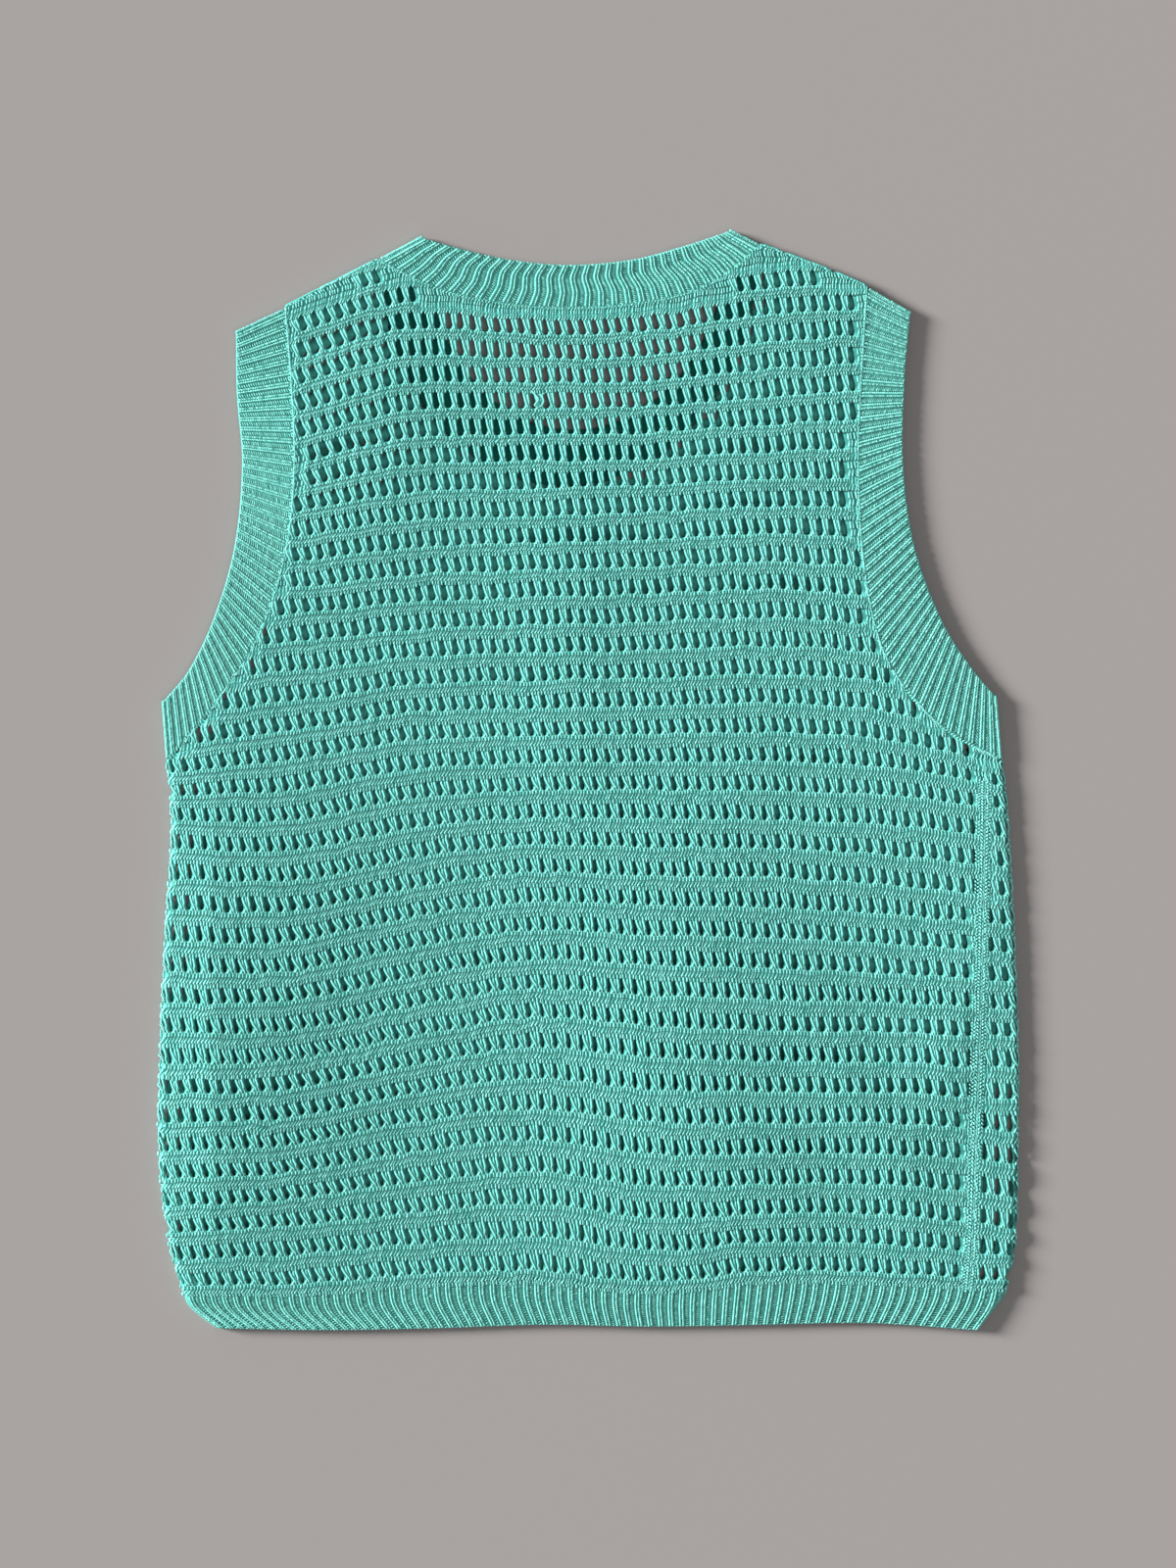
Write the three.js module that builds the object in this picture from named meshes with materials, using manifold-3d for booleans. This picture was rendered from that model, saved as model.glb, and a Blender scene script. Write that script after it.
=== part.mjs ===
// A knitted sweater vest laid flat with its back up. Sizes are in millimetres. +Y points to the neck,
// +Z points up, and the origin lies on the surface under the middle of the vest.
//
// The body is a flattened tube: a back panel that turns under at the left fold, and a front panel
// that turns up over the right fold and meets the back in a side seam. Ribbed bands close the hem,
// the armholes and the neck. Each band of an armhole or of the neck is a ring, pressed flat.
import * as THREE from 'three';
import { mergeVertices } from 'three/addons/utils/BufferGeometryUtils.js';
import Module from 'manifold-3d';

const wasm = await Module();
wasm.setup();

// The cloth and how its two layers lie.
const WALL = 2;
const LAYER_GAP = 0.4;
const SEAM_GAP = 0.3;
const INNER_RADIUS = LAYER_GAP / 2;
const ROLL = WALL + INNER_RADIUS;
const MID_HEIGHT = ROLL;
const UNDER_TURN = Math.PI;
const ROLL_TURNS = [0.25, 0.5, 0.75].map((part) => part * Math.PI);

// Raised knitting: the thick courses between the eyelet rows, and the ribs of the bands.
const COURSE_RELIEF = 0.9;
const COURSE_HALF = 0.2;
const GROOVE_HALF = 0.17;
const RIB_RELIEF = 0.8;
const RIB_CREST = [0.12, 0.56];
const RIB_VALLEY = 0.84;

// Ribs along each band, counted on the side that shows.
const HEM_RIBS = 70;
const HEM_RIBS_OVER = 3;
const ARMHOLE_RIBS = 42;
const NECK_RIBS = 29;

// The body, one row for each course that was measured, from the shoulders to the lower hem. Course
// 35 is the last above the hem rib, and 37 is the rib's lower edge. left and right are where the
// tube's folds show from above, seam is the side seam, and heights are the course's places along Y
// at even steps from the left fold to the right one.
const LAST_COURSE = 35;
const HEM_EDGE = 37;
const COURSES = [
  { course: -2, left: -244, seam: 226, right: 240, heights: [274, 291, 311, 306, 309, 318, 321, 321] },
  { course: 1, left: -244, seam: 226, right: 240, heights: [233, 250, 269, 265, 267, 277, 280, 280] },
  { course: 5, left: -244, seam: 226, right: 240, heights: [177, 190, 207, 209, 210, 215, 219, 217] },
  { course: 11, left: -244, seam: 226, right: 238, heights: [102, 106, 113, 116, 118, 121, 117, 110] },
  { course: 16, left: -241, seam: 226, right: 236, heights: [15, 24, 34, 37, 38, 40, 36, 20] },
  { course: 19, left: -238, seam: 226, right: 239, heights: [-27, -27, -15, -10, -10, -10, -13, -20] },
  { course: 22, left: -241, seam: 225, right: 242, heights: [-79, -79, -66, -57, -59, -60, -64, -71] },
  { course: 27, left: -245, seam: 223, right: 245, heights: [-166, -164, -151, -140, -144, -147, -148, -151] },
  { course: 30, left: -245, seam: 221, right: 245, heights: [-216, -212, -200, -192, -199, -200, -200, -205] },
  { course: 33, left: -240, seam: 219, right: 244, heights: [-262, -258, -251, -246, -254, -251, -252, -260] },
  { course: 35, left: -232, seam: 217, right: 239, heights: [-291, -291, -286, -284, -290, -284, -285, -289] },
  { course: 36, left: -228, seam: 214, right: 233, heights: [-301, -303, -299, -297, -301, -297, -297, -301] },
  { course: 37, left: -213, seam: 206, right: 223, heights: [-313, -314, -313, -311, -312, -311, -310, -314] },
];
const TURNED_UNDER = 17;

// Armhole bands, from the shoulder to the pit: the seam to the panels, and the free edge.
const LEFT_ARMHOLE = [
  { seam: [-173, 267], edge: [-201, 254] },
  { seam: [-170, 230], edge: [-200.5, 220] },
  { seam: [-168, 180], edge: [-197.5, 180] },
  { seam: [-173, 130], edge: [-202, 132] },
  { seam: [-188, 83], edge: [-214, 91] },
  { seam: [-212, 45], edge: [-228, 62] },
  { seam: [-239.5, 11.5], edge: [-242, 45] },
];
const RIGHT_ARMHOLE = [
  { seam: [159, 279], edge: [183.5, 265] },
  { seam: [156.5, 240], edge: [180.5, 232] },
  { seam: [154, 180], edge: [179.5, 180] },
  { seam: [158, 118], edge: [186, 133] },
  { seam: [170, 70], edge: [202, 90] },
  { seam: [198, 33.5], edge: [219, 63] },
  { seam: [234.5, 11.5], edge: [231.5, 48] },
];
const PIT_HEIGHT = 11.5;

// The back half of the neckband, from the left shoulder to the right one.
const BACK_NECK = [
  { seam: [-118, 295.5], edge: [-93.5, 308.5] },
  { seam: [-91, 282], edge: [-72, 302.5] },
  { seam: [-58, 273], edge: [-45, 296.5] },
  { seam: [-12, 269], edge: [-11.5, 293.5] },
  { seam: [40, 273.5], edge: [25, 296.5] },
  { seam: [72, 284], edge: [55.5, 304.5] },
  { seam: [97.5, 303.5], edge: [80, 312.5] },
];

// The front half of the neckband is a scoop, hidden under the back.
const SCOOP_DEPTH = 111;
const SCOOP_SEAM_DEPTH = 132;
const SCOOP_STEPS = 20;

// The ribs of the neckband are racked, so that they run in a zigzag from the seam to the edge.
const RACKING = [
  { across: 0, shift: 1 },
  { across: 0.35, shift: 1.6 },
  { across: 0.7, shift: -1.6 },
  { across: 1, shift: 1.2 },
];

// Where the shoulder edge lies between the neckband and the armhole bands.
const LEFT_SHOULDER = [[-119, 297.5], [-174, 269.3]];
const RIGHT_SHOULDER = [[160, 281], [139.5, 290], [98.5, 305.5]];

// Broad swells of the upper layer, each a soft hump that leans along its length.
const SWELLS = [
  { x: -205, y: -150, wide: 56, long: 105, lean: 0.04, rise: 6.5 },
  { x: 62, y: -165, wide: 50, long: 120, lean: -0.1, rise: 5.5 },
  { x: 158, y: -190, wide: 15, long: 45, lean: -0.5, rise: 1.6 },
  { x: 206, y: -150, wide: 14, long: 60, lean: 0.3, rise: 1.4 },
  { x: -12, y: 60, wide: 20, long: 90, lean: 0.02, rise: 1.4 },
  { x: -125, y: 190, wide: 28, long: 60, lean: 0.1, rise: 1.4 },
];
const FOLD_FADE = 30;
const HEM_FADE = 60;
const WIDEST = 245;
const LOWEST = -316;

// The value at a place along a table's knots, on a smooth curve through every row.
function smoothAt(knots, values, place) {
  let row = 0;
  while (row < knots.length - 2 && place > knots[row + 1]) row += 1;
  const span = knots[row + 1] - knots[row];
  const t = (place - knots[row]) / span;
  const slope = (knot) => {
    const before = Math.max(knot - 1, 0);
    const after = Math.min(knot + 1, knots.length - 1);
    return (values[after] - values[before]) / (knots[after] - knots[before]);
  };
  const rise = values[row + 1] - values[row];
  const bend = (t ** 3 - 2 * t ** 2 + t) * slope(row) + (t ** 3 - t ** 2) * slope(row + 1);
  return values[row] + (3 * t ** 2 - 2 * t ** 3) * rise + span * bend;
}

const courseKnots = COURSES.map((row) => row.course);
const columnAt = (column, course) => smoothAt(courseKnots, COURSES.map((row) => row[column]), course);

// The height along Y of a course, at a part of the way from the left fold to the right one.
function courseHeight(course, across) {
  const steps = COURSES[0].heights.map((height, index, all) => index / (all.length - 1));
  const heights = COURSES.map((row) => smoothAt(steps, row.heights, across));
  return smoothAt(courseKnots, heights, course);
}

const clamp01 = (value) => Math.min(Math.max(value, 0), 1);

// How far the upper layer is lifted off the lower one. It stays down at the folds and the hem.
function lift(x, y) {
  const humps = SWELLS.map((swell) => {
    const along = (y - swell.y) / swell.long;
    const aside = (x - swell.x - swell.lean * (y - swell.y)) / swell.wide;
    return swell.rise * Math.exp(-(along ** 2 + aside ** 2) / 2);
  });
  const sides = clamp01((WIDEST - Math.abs(x)) / FOLD_FADE);
  const hem = clamp01((y - LOWEST) / HEM_FADE);
  return sides * hem * humps.reduce((sum, hump) => sum + hump, 0);
}

// A point of cloth. plan is its place seen from above, or the fold line that it turns round. turn is
// 0 on the upper layer and PI on the lower one, away is the way out of the fold, and depth is how
// far the point lies outside the wall's inner face.
function clothPoint(plan, away, turn, depth) {
  const radius = INNER_RADIUS + depth;
  const x = plan.x + away.x * radius * Math.sin(turn);
  const y = plan.y + away.y * radius * Math.sin(turn);
  const rise = turn === 0 ? lift(plan.x, plan.y) : 0;
  return new THREE.Vector3(x, y, MID_HEIGHT + radius * Math.cos(turn) + rise);
}

// Relief is whole on the upper layer, fades round a fold and is gone underneath.
const showing = (turn) => Math.max(Math.cos(turn), 0);

// Triangles between two rows of points that start and end together. Each row holds the points'
// numbers and their places from 0 to 1.
function zip(triangles, first, second, flipped) {
  let a = 0;
  let b = 0;
  while (a < first.length - 1 || b < second.length - 1) {
    const nextA = a < first.length - 1 ? first[a + 1].place : Infinity;
    const nextB = b < second.length - 1 ? second[b + 1].place : Infinity;
    const stepA = nextA <= nextB;
    const far = stepA ? first[a + 1].id : second[b + 1].id;
    const corners = stepA ? [far, first[a].id, second[b].id] : [second[b].id, far, first[a].id];
    triangles.push(flipped ? corners.reverse() : corners);
    if (stepA) a += 1;
    else b += 1;
  }
}

// A closed wall between an outer and an inner grid of points. Each grid has its own columns and
// rows, so the outside can carry relief over a plain inside. A ring joins its last column to its
// first. Every column and row states its place from 0 to 1.
function wall(outer, inner, ring) {
  const points = [];
  const triangles = [];
  const number = (grid) => grid.columns.map((column) => grid.rows.map((row) => {
    points.push(grid.at(column, row));
    return points.length - 1;
  }));
  const fill = (grid, ids, flipped) => {
    const last = ring ? ids.length : ids.length - 1;
    for (let i = 0; i < last; i += 1) {
      const next = (i + 1) % ids.length;
      for (let j = 0; j < grid.rows.length - 1; j += 1) {
        const corners = [ids[i][j], ids[next][j], ids[next][j + 1], ids[i][j + 1]];
        if (flipped) corners.reverse();
        triangles.push([corners[0], corners[1], corners[2]], [corners[0], corners[2], corners[3]]);
      }
    }
  };
  const outerIds = number(outer);
  const innerIds = number(inner);
  fill(outer, outerIds, false);
  fill(inner, innerIds, true);
  const alongColumns = (grid, ids, j) => {
    const row = grid.columns.map((column, i) => ({ id: ids[i].at(j), place: column.place }));
    return ring ? [...row, { id: ids[0].at(j), place: 1 }] : row;
  };
  const alongRows = (grid, ids, i) => grid.rows.map((row, j) => ({ id: ids.at(i)[j], place: row.place }));
  zip(triangles, alongColumns(outer, outerIds, 0), alongColumns(inner, innerIds, 0), false);
  zip(triangles, alongColumns(outer, outerIds, -1), alongColumns(inner, innerIds, -1), true);
  if (!ring) {
    zip(triangles, alongRows(outer, outerIds, 0), alongRows(inner, innerIds, 0), true);
    zip(triangles, alongRows(outer, outerIds, -1), alongRows(inner, innerIds, -1), false);
  }
  return facingOut(points, triangles);
}

// Turns all the triangles round if the solid would come out inside out.
function facingOut(points, triangles) {
  const sixth = (corners) => {
    const [a, b, c] = corners.map((id) => points[id]);
    return a.dot(new THREE.Vector3().crossVectors(b, c));
  };
  const volume = triangles.reduce((sum, corners) => sum + sixth(corners), 0);
  if (volume < 0) triangles.forEach((corners) => corners.reverse());
  const geometry = new THREE.BufferGeometry();
  const places = points.flatMap((point) => point.toArray());
  geometry.setAttribute('position', new THREE.Float32BufferAttribute(places, 3));
  geometry.setIndex(triangles.flat());
  return geometry;
}

// The rows of a panel: each thick course is raised flat, with a flat groove below it.
function courseRows(from, to) {
  const rows = [{ course: from, raised: 0 }];
  for (let course = Math.ceil(from); course < to; course += 1) {
    const marks = [
      { course: course - COURSE_HALF, raised: 1 },
      { course: course + COURSE_HALF, raised: 1 },
      { course: course + 0.5 - GROOVE_HALF, raised: 0 },
      { course: course + 0.5 + GROOVE_HALF, raised: 0 },
    ];
    rows.push(...marks.filter((mark) => mark.course > from && mark.course < to));
  }
  rows.push({ course: to, raised: 1 });
  return rows.map((row) => ({ ...row, place: (row.course - from) / (to - from) }));
}

const plainRows = (from, to, count) => Array.from({ length: count }, (unused, index) => {
  const place = index / (count - 1);
  return { course: THREE.MathUtils.lerp(from, to, place), place };
});

// A point of the body's tube. A column states how far across the upper layer it lies, its turn
// round the nearer fold, and on the lower layer how far inward of that fold it lies.
function tubePoint(column, course, depth) {
  const left = columnAt('left', course) + ROLL;
  const right = columnAt('right', course) - ROLL;
  const seam = (columnAt('seam', course) + (column.past ?? 0) - left) / (right - left);
  const across = column.toSeam ? column.toSeam(seam) : column.across;
  const outward = across < 0.5 ? -1 : 1;
  const x = THREE.MathUtils.lerp(left, right, across) - outward * (column.inward ?? 0);
  const plan = new THREE.Vector2(x, courseHeight(course, across));
  return clothPoint(plan, new THREE.Vector2(outward, 0), column.turn, depth);
}

// Columns round a fold, in turn order, with their places between two given places.
const rollColumns = (across, from, to) => [0, ...ROLL_TURNS, UNDER_TURN].map((turn, index, all) => (
  { across, turn, raised: 0, place: THREE.MathUtils.lerp(from, to, index / (all.length - 1)) }
));
const UPPER_END = 0.45;
const UNDER_START = 0.55;

// The columns of a piece of the back, from its seam underneath, round the left fold to the side
// seam on top. steps are the places of its columns on top, from 0 to 1, with their relief.
const backColumns = (steps) => [
  { across: 0, turn: UNDER_TURN, inward: TURNED_UNDER, raised: 0, place: 0 },
  ...rollColumns(0, UNDER_START, UPPER_END).reverse().slice(0, -1),
  ...steps.map((step) => ({
    toSeam: (seam) => seam * step.at,
    turn: 0,
    raised: step.raised,
    place: THREE.MathUtils.lerp(UNDER_START, 1, step.at),
  })),
];

// The columns of a piece of the front, from the side seam on top, round the right fold and across
// underneath to the left.
const frontColumns = (steps, underneath) => [
  ...steps.map((step) => ({
    toSeam: (seam) => THREE.MathUtils.lerp(seam, 1, step.at),
    past: SEAM_GAP,
    turn: 0,
    raised: step.raised,
    place: UPPER_END * step.at,
  })),
  ...rollColumns(1, UPPER_END, UNDER_START).slice(1),
  ...underneath.map((across) => ({
    across,
    turn: UNDER_TURN,
    raised: 0,
    place: THREE.MathUtils.lerp(1, UNDER_START, across),
  })),
  { across: 0, turn: UNDER_TURN, inward: TURNED_UNDER + SEAM_GAP, raised: 0, place: 1 },
];

const plainSteps = (count) => Array.from({ length: count }, (unused, index) => (
  { at: index / (count - 1), raised: 1 }
));

// Places for ribs: two crest edges and a valley for each, with a flat start and end.
function ribSteps(ribs) {
  const steps = [{ at: 0, raised: 0 }];
  for (let rib = 0; rib < ribs; rib += 1) {
    RIB_CREST.forEach((edge) => steps.push({ at: (rib + edge) / ribs, raised: 1 }));
    steps.push({ at: (rib + RIB_VALLEY) / ribs, raised: 0 });
  }
  return [...steps, { at: 1, raised: 0 }];
}

// A piece of the body's tube between two courses.
function tubeWall(outerColumns, outerRows, innerColumns, innerRows, relief) {
  const outer = {
    columns: outerColumns,
    rows: outerRows,
    at: (column, row) => {
      const raised = relief * column.raised * (row.raised ?? 1) * showing(column.turn);
      return tubePoint(column, row.course, WALL + raised);
    },
  };
  const inner = {
    columns: innerColumns,
    rows: innerRows,
    at: (column, row) => tubePoint(column, row.course, 0),
  };
  return wall(outer, inner, false);
}

const flat = (point) => new THREE.Vector3(point[0], point[1], 0);
const curveOf = (rows, side) => new THREE.CatmullRomCurve3(rows.map((row) => flat(row[side])));

// Half of a flattened ring, as two curves seen from above: the seam and the free edge.
const halfRing = (rows) => ({ seam: curveOf(rows, 'seam'), edge: curveOf(rows, 'edge') });

// The hidden front half of the neckband: half ellipses hung between the ends of the back half.
function scoopHalf() {
  const ends = [BACK_NECK[0], BACK_NECK.at(-1)];
  const hung = (side, depth) => {
    const from = flat(ends[0][side]);
    const to = flat(ends[1][side]);
    const points = [];
    for (let step = 0; step <= SCOOP_STEPS; step += 1) {
      const angle = Math.PI * step / SCOOP_STEPS;
      const point = from.clone().lerp(to, (1 - Math.cos(angle)) / 2);
      point.y -= depth * Math.sin(angle);
      points.push(point);
    }
    return new THREE.CatmullRomCurve3(points);
  };
  return { seam: hung('seam', SCOOP_SEAM_DEPTH), edge: hung('edge', SCOOP_DEPTH) };
}

// The way out of a ring's fold, square to the fold line and away from the band.
const INSIDE_PART = 0.1;
function awayFrom(half, end) {
  const seam = half.seam.getPointAt(end);
  const line = half.edge.getPointAt(end).sub(seam).normalize();
  const away = new THREE.Vector2(-line.y, line.x);
  const inside = half.seam.getPointAt(end === 0 ? INSIDE_PART : 1 - INSIDE_PART).sub(seam);
  return away.dot(inside) > 0 ? away.negate() : away;
}

// Steps of a band's plain half underneath, and of the plain inside of its upper half.
const LOWER_STEPS = 28;
const INNER_STEPS = 24;

// A ribbed band: the upper half runs from one fold to the other, and the lower half comes back.
function ribbedRing(upper, lower, ribs, awayStart, awayEnd, racking) {
  const around = (steps, lowerSteps) => {
    const half = (list, shape, turn, from) => list.map((step) => ({
      half: shape,
      at: turn === 0 ? step.at : 1 - step.at,
      turn,
      away: awayEnd,
      raised: step.raised,
      place: from + UPPER_END * step.at,
    }));
    const rollStep = (0.5 - UPPER_END) / (ROLL_TURNS.length + 1);
    const roll = (turns, at, away, from) => turns.map((turn, index) => ({
      half: upper, at, turn, away, raised: 0, place: from + (index + 1) * rollStep,
    }));
    return [
      ...half(steps, upper, 0, 0),
      ...roll(ROLL_TURNS, 1, awayEnd, UPPER_END),
      ...half(lowerSteps, lower, UNDER_TURN, 0.5),
      ...roll([...ROLL_TURNS].reverse(), 0, awayStart, 0.5 + UPPER_END),
    ];
  };
  const at = (column, row, depth) => {
    const length = column.half.seam.getLength();
    const ends = Math.sin(Math.PI * column.at);
    const shift = column.turn === 0 ? row.shift * ends / length : 0;
    const along = clamp01(column.at + shift);
    const seam = column.half.seam.getPointAt(along);
    const edge = column.half.edge.getPointAt(along);
    const inset = SEAM_GAP / seam.distanceTo(edge);
    const plan = seam.lerp(edge, THREE.MathUtils.lerp(inset, 1, row.across));
    return clothPoint(plan, column.away, column.turn, depth);
  };
  const outerRows = racking.map((row) => ({ ...row, place: row.across }));
  const innerRows = [racking[0], racking.at(-1)].map((row) => ({ ...row, shift: 0, place: row.across }));
  const outer = {
    columns: around(ribSteps(ribs), plainSteps(LOWER_STEPS)),
    rows: outerRows,
    at: (column, row) => at(column, row, WALL + RIB_RELIEF * column.raised * showing(column.turn)),
  };
  const inner = {
    columns: around(plainSteps(INNER_STEPS), plainSteps(LOWER_STEPS)),
    rows: innerRows,
    at: (column, row) => at(column, row, 0),
  };
  return wall(outer, inner, true);
}

const STRAIGHT_RIBS = [{ across: 0, shift: 0 }, { across: 1, shift: 0 }];
const OUTLINE_STEPS = 60;

// A tall prism on an outline seen from above, for cutting the panels to shape.
const PRISM_REACH = 20;
function prism(outline) {
  const shape = new THREE.Shape(outline.map((point) => new THREE.Vector2(point.x, point.y)));
  const geometry = new THREE.ExtrudeGeometry(shape, { depth: 2 * PRISM_REACH, bevelEnabled: false });
  return geometry.translate(0, 0, -PRISM_REACH);
}

function toSolid(geometry) {
  const bare = geometry.clone();
  bare.deleteAttribute('normal');
  bare.deleteAttribute('uv');
  const merged = mergeVertices(bare);
  const vertProperties = new Float32Array(merged.attributes.position.array);
  const triVerts = new Uint32Array(merged.index.array);
  return new wasm.Manifold(new wasm.Mesh({ numProp: 3, vertProperties, triVerts }));
}

function cutTo(geometry, outline) {
  const result = toSolid(geometry).intersect(toSolid(prism(outline))).getMesh();
  const cut = new THREE.BufferGeometry();
  cut.setAttribute('position', new THREE.Float32BufferAttribute(result.vertProperties, 3));
  cut.setIndex(Array.from(result.triVerts));
  return cut;
}

const leftArmhole = halfRing(LEFT_ARMHOLE);
const rightArmhole = halfRing(RIGHT_ARMHOLE);
const backNeck = halfRing(BACK_NECK);
const frontNeck = scoopHalf();

const PAST_FOLD = 20;
const OUTSIDE = WIDEST + PAST_FOLD;
const corner = (x, y) => new THREE.Vector3(x, y, 0);

// The seam between the panels and the hem rib, from left to right and out past both folds.
function hemSeam(gap) {
  const left = columnAt('left', LAST_COURSE);
  const right = columnAt('right', LAST_COURSE);
  const line = [];
  for (let step = 0; step <= OUTLINE_STEPS; step += 1) {
    const across = step / OUTLINE_STEPS;
    const x = THREE.MathUtils.lerp(left, right, across);
    line.push(corner(x, courseHeight(LAST_COURSE, across) - gap));
  }
  return [corner(-OUTSIDE, line[0].y), ...line, corner(OUTSIDE, line.at(-1).y)];
}

// The outline of a panel: along the hem seam, up the right armhole, over the shoulders and the neck,
// and down the left armhole. Below the pits it is open past both folds.
function panelOutline(neck) {
  return [
    ...hemSeam(0),
    corner(OUTSIDE, PIT_HEIGHT),
    ...rightArmhole.seam.getSpacedPoints(OUTLINE_STEPS).reverse(),
    ...RIGHT_SHOULDER.map(flat),
    ...neck.seam.getSpacedPoints(OUTLINE_STEPS).reverse(),
    ...LEFT_SHOULDER.map(flat),
    ...leftArmhole.seam.getSpacedPoints(OUTLINE_STEPS),
    corner(-OUTSIDE, PIT_HEIGHT),
  ];
}

const hemOutline = () => [
  ...hemSeam(SEAM_GAP),
  corner(OUTSIDE, LOWEST - OUTSIDE),
  corner(-OUTSIDE, LOWEST - OUTSIDE),
].reverse();

const LEFTWARD = new THREE.Vector2(-1, 0);
const RIGHTWARD = new THREE.Vector2(1, 0);
const TOP_COURSE = COURSES[0].course;
const INNER_ROWS = 38;

// The panels and the hem rib are made past their seam, and then cut along it.
const PAST_SEAM = 0.5;
const HEM_ROWS = 4;

// Steps across the back on top, outside and inside, and across the strip of the front that shows.
const BACK_STEPS = 12;
const BACK_INNER_STEPS = 9;
const OVER_STEPS = 2;

// Columns of the front underneath, as parts of the way across, so that it lies under the back.
const PANEL_UNDERNEATH = [0.75, 0.5, 0.25];
const HEM_UNDERNEATH = [0.875, 0.75, 0.625, 0.5, 0.375, 0.25, 0.125];

function backPanel() {
  const columns = backColumns(plainSteps(BACK_STEPS));
  const innerColumns = backColumns(plainSteps(BACK_INNER_STEPS));
  const outerRows = courseRows(TOP_COURSE, LAST_COURSE + PAST_SEAM);
  const innerRows = plainRows(TOP_COURSE, LAST_COURSE + PAST_SEAM, INNER_ROWS);
  const sheet = tubeWall(columns, outerRows, innerColumns, innerRows, COURSE_RELIEF);
  return cutTo(sheet, panelOutline(backNeck));
}

function frontPanel() {
  const columns = frontColumns(plainSteps(OVER_STEPS), PANEL_UNDERNEATH);
  const outerRows = courseRows(TOP_COURSE, LAST_COURSE + PAST_SEAM);
  const innerRows = plainRows(TOP_COURSE, LAST_COURSE + PAST_SEAM, INNER_ROWS);
  const sheet = tubeWall(columns, outerRows, columns, innerRows, COURSE_RELIEF);
  return cutTo(sheet, panelOutline(frontNeck));
}

function hemRib(outerColumns, innerColumns) {
  const rows = plainRows(LAST_COURSE - PAST_SEAM, HEM_EDGE, HEM_ROWS);
  return cutTo(tubeWall(outerColumns, rows, innerColumns, rows, RIB_RELIEF), hemOutline());
}

const hemRibBack = () => hemRib(backColumns(ribSteps(HEM_RIBS)), backColumns(plainSteps(BACK_INNER_STEPS)));
const hemRibFront = () => {
  const ribbed = frontColumns(ribSteps(HEM_RIBS_OVER), HEM_UNDERNEATH);
  return hemRib(ribbed, frontColumns(plainSteps(OVER_STEPS), HEM_UNDERNEATH));
};

function armband(half, pitward) {
  return ribbedRing(half, half, ARMHOLE_RIBS, awayFrom(half, 0), pitward, STRAIGHT_RIBS);
}

function neckband() {
  const away = [awayFrom(backNeck, 0), awayFrom(backNeck, 1)];
  return ribbedRing(backNeck, frontNeck, NECK_RIBS, away[0], away[1], RACKING);
}

const mint = (color) => new THREE.MeshStandardMaterial({ color, roughness: 0.95, metalness: 0 });

const PIECES = [
  { name: 'back_panel', geometry: backPanel(), material: mint(0x7dcdc3) },
  { name: 'front_panel', geometry: frontPanel(), material: mint(0x76c6bc) },
  { name: 'hem_rib_back', geometry: hemRibBack(), material: mint(0x65b1aa) },
  { name: 'hem_rib_front', geometry: hemRibFront(), material: mint(0x65b1aa) },
  { name: 'armband_left', geometry: armband(leftArmhole, LEFTWARD), material: mint(0x6cc3ba) },
  { name: 'armband_right', geometry: armband(rightArmhole, RIGHTWARD), material: mint(0x6cc3ba) },
  { name: 'neckband', geometry: neckband(), material: mint(0x75c7bd) },
];

const vest = new THREE.Group();
for (const piece of PIECES) {
  const mesh = new THREE.Mesh(piece.geometry, piece.material);
  mesh.name = piece.name;
  vest.add(mesh);
}

export default vest;
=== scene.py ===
# A mint openwork knitted vest, laid flat with its back up. Lengths on the cloth are in millimetres,
# and become metres when a mesh is made.
import math

import bpy
import numpy as np
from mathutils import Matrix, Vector


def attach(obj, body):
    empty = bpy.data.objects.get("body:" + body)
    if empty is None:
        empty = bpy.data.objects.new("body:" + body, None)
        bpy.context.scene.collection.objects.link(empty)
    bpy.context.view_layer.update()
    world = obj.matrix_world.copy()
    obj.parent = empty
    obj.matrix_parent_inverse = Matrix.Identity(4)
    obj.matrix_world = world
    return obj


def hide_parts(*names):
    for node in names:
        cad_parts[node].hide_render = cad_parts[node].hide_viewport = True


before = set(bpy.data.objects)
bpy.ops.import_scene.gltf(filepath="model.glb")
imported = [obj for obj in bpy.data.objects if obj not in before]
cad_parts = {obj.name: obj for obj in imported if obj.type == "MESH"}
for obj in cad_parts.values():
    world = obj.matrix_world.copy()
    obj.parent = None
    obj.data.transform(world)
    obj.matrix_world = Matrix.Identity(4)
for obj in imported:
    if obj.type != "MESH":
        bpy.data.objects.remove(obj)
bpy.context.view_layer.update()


# The cloth. The vest is a flattened tube of two layers, 2 mm thick each, that turns round a soft
# fold at its left and right sides. The courses are the thick rows of the knitting, numbered from
# the shoulders down, and the wales are its columns, numbered from the middle.
MM = 0.001
WALL = 2.0
LAYER_GAP = 0.4
SEAM_GAP = 0.3
INNER_RADIUS = LAYER_GAP / 2
ROLL = WALL + INNER_RADIUS
MID_RADIUS = INNER_RADIUS + WALL / 2
HALF_TURN = math.pi * MID_RADIUS
TURNED_UNDER = 17.0
LAST_COURSE = 35
HEM_EDGE = 37
PIT_HEIGHT = 11.5

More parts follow.
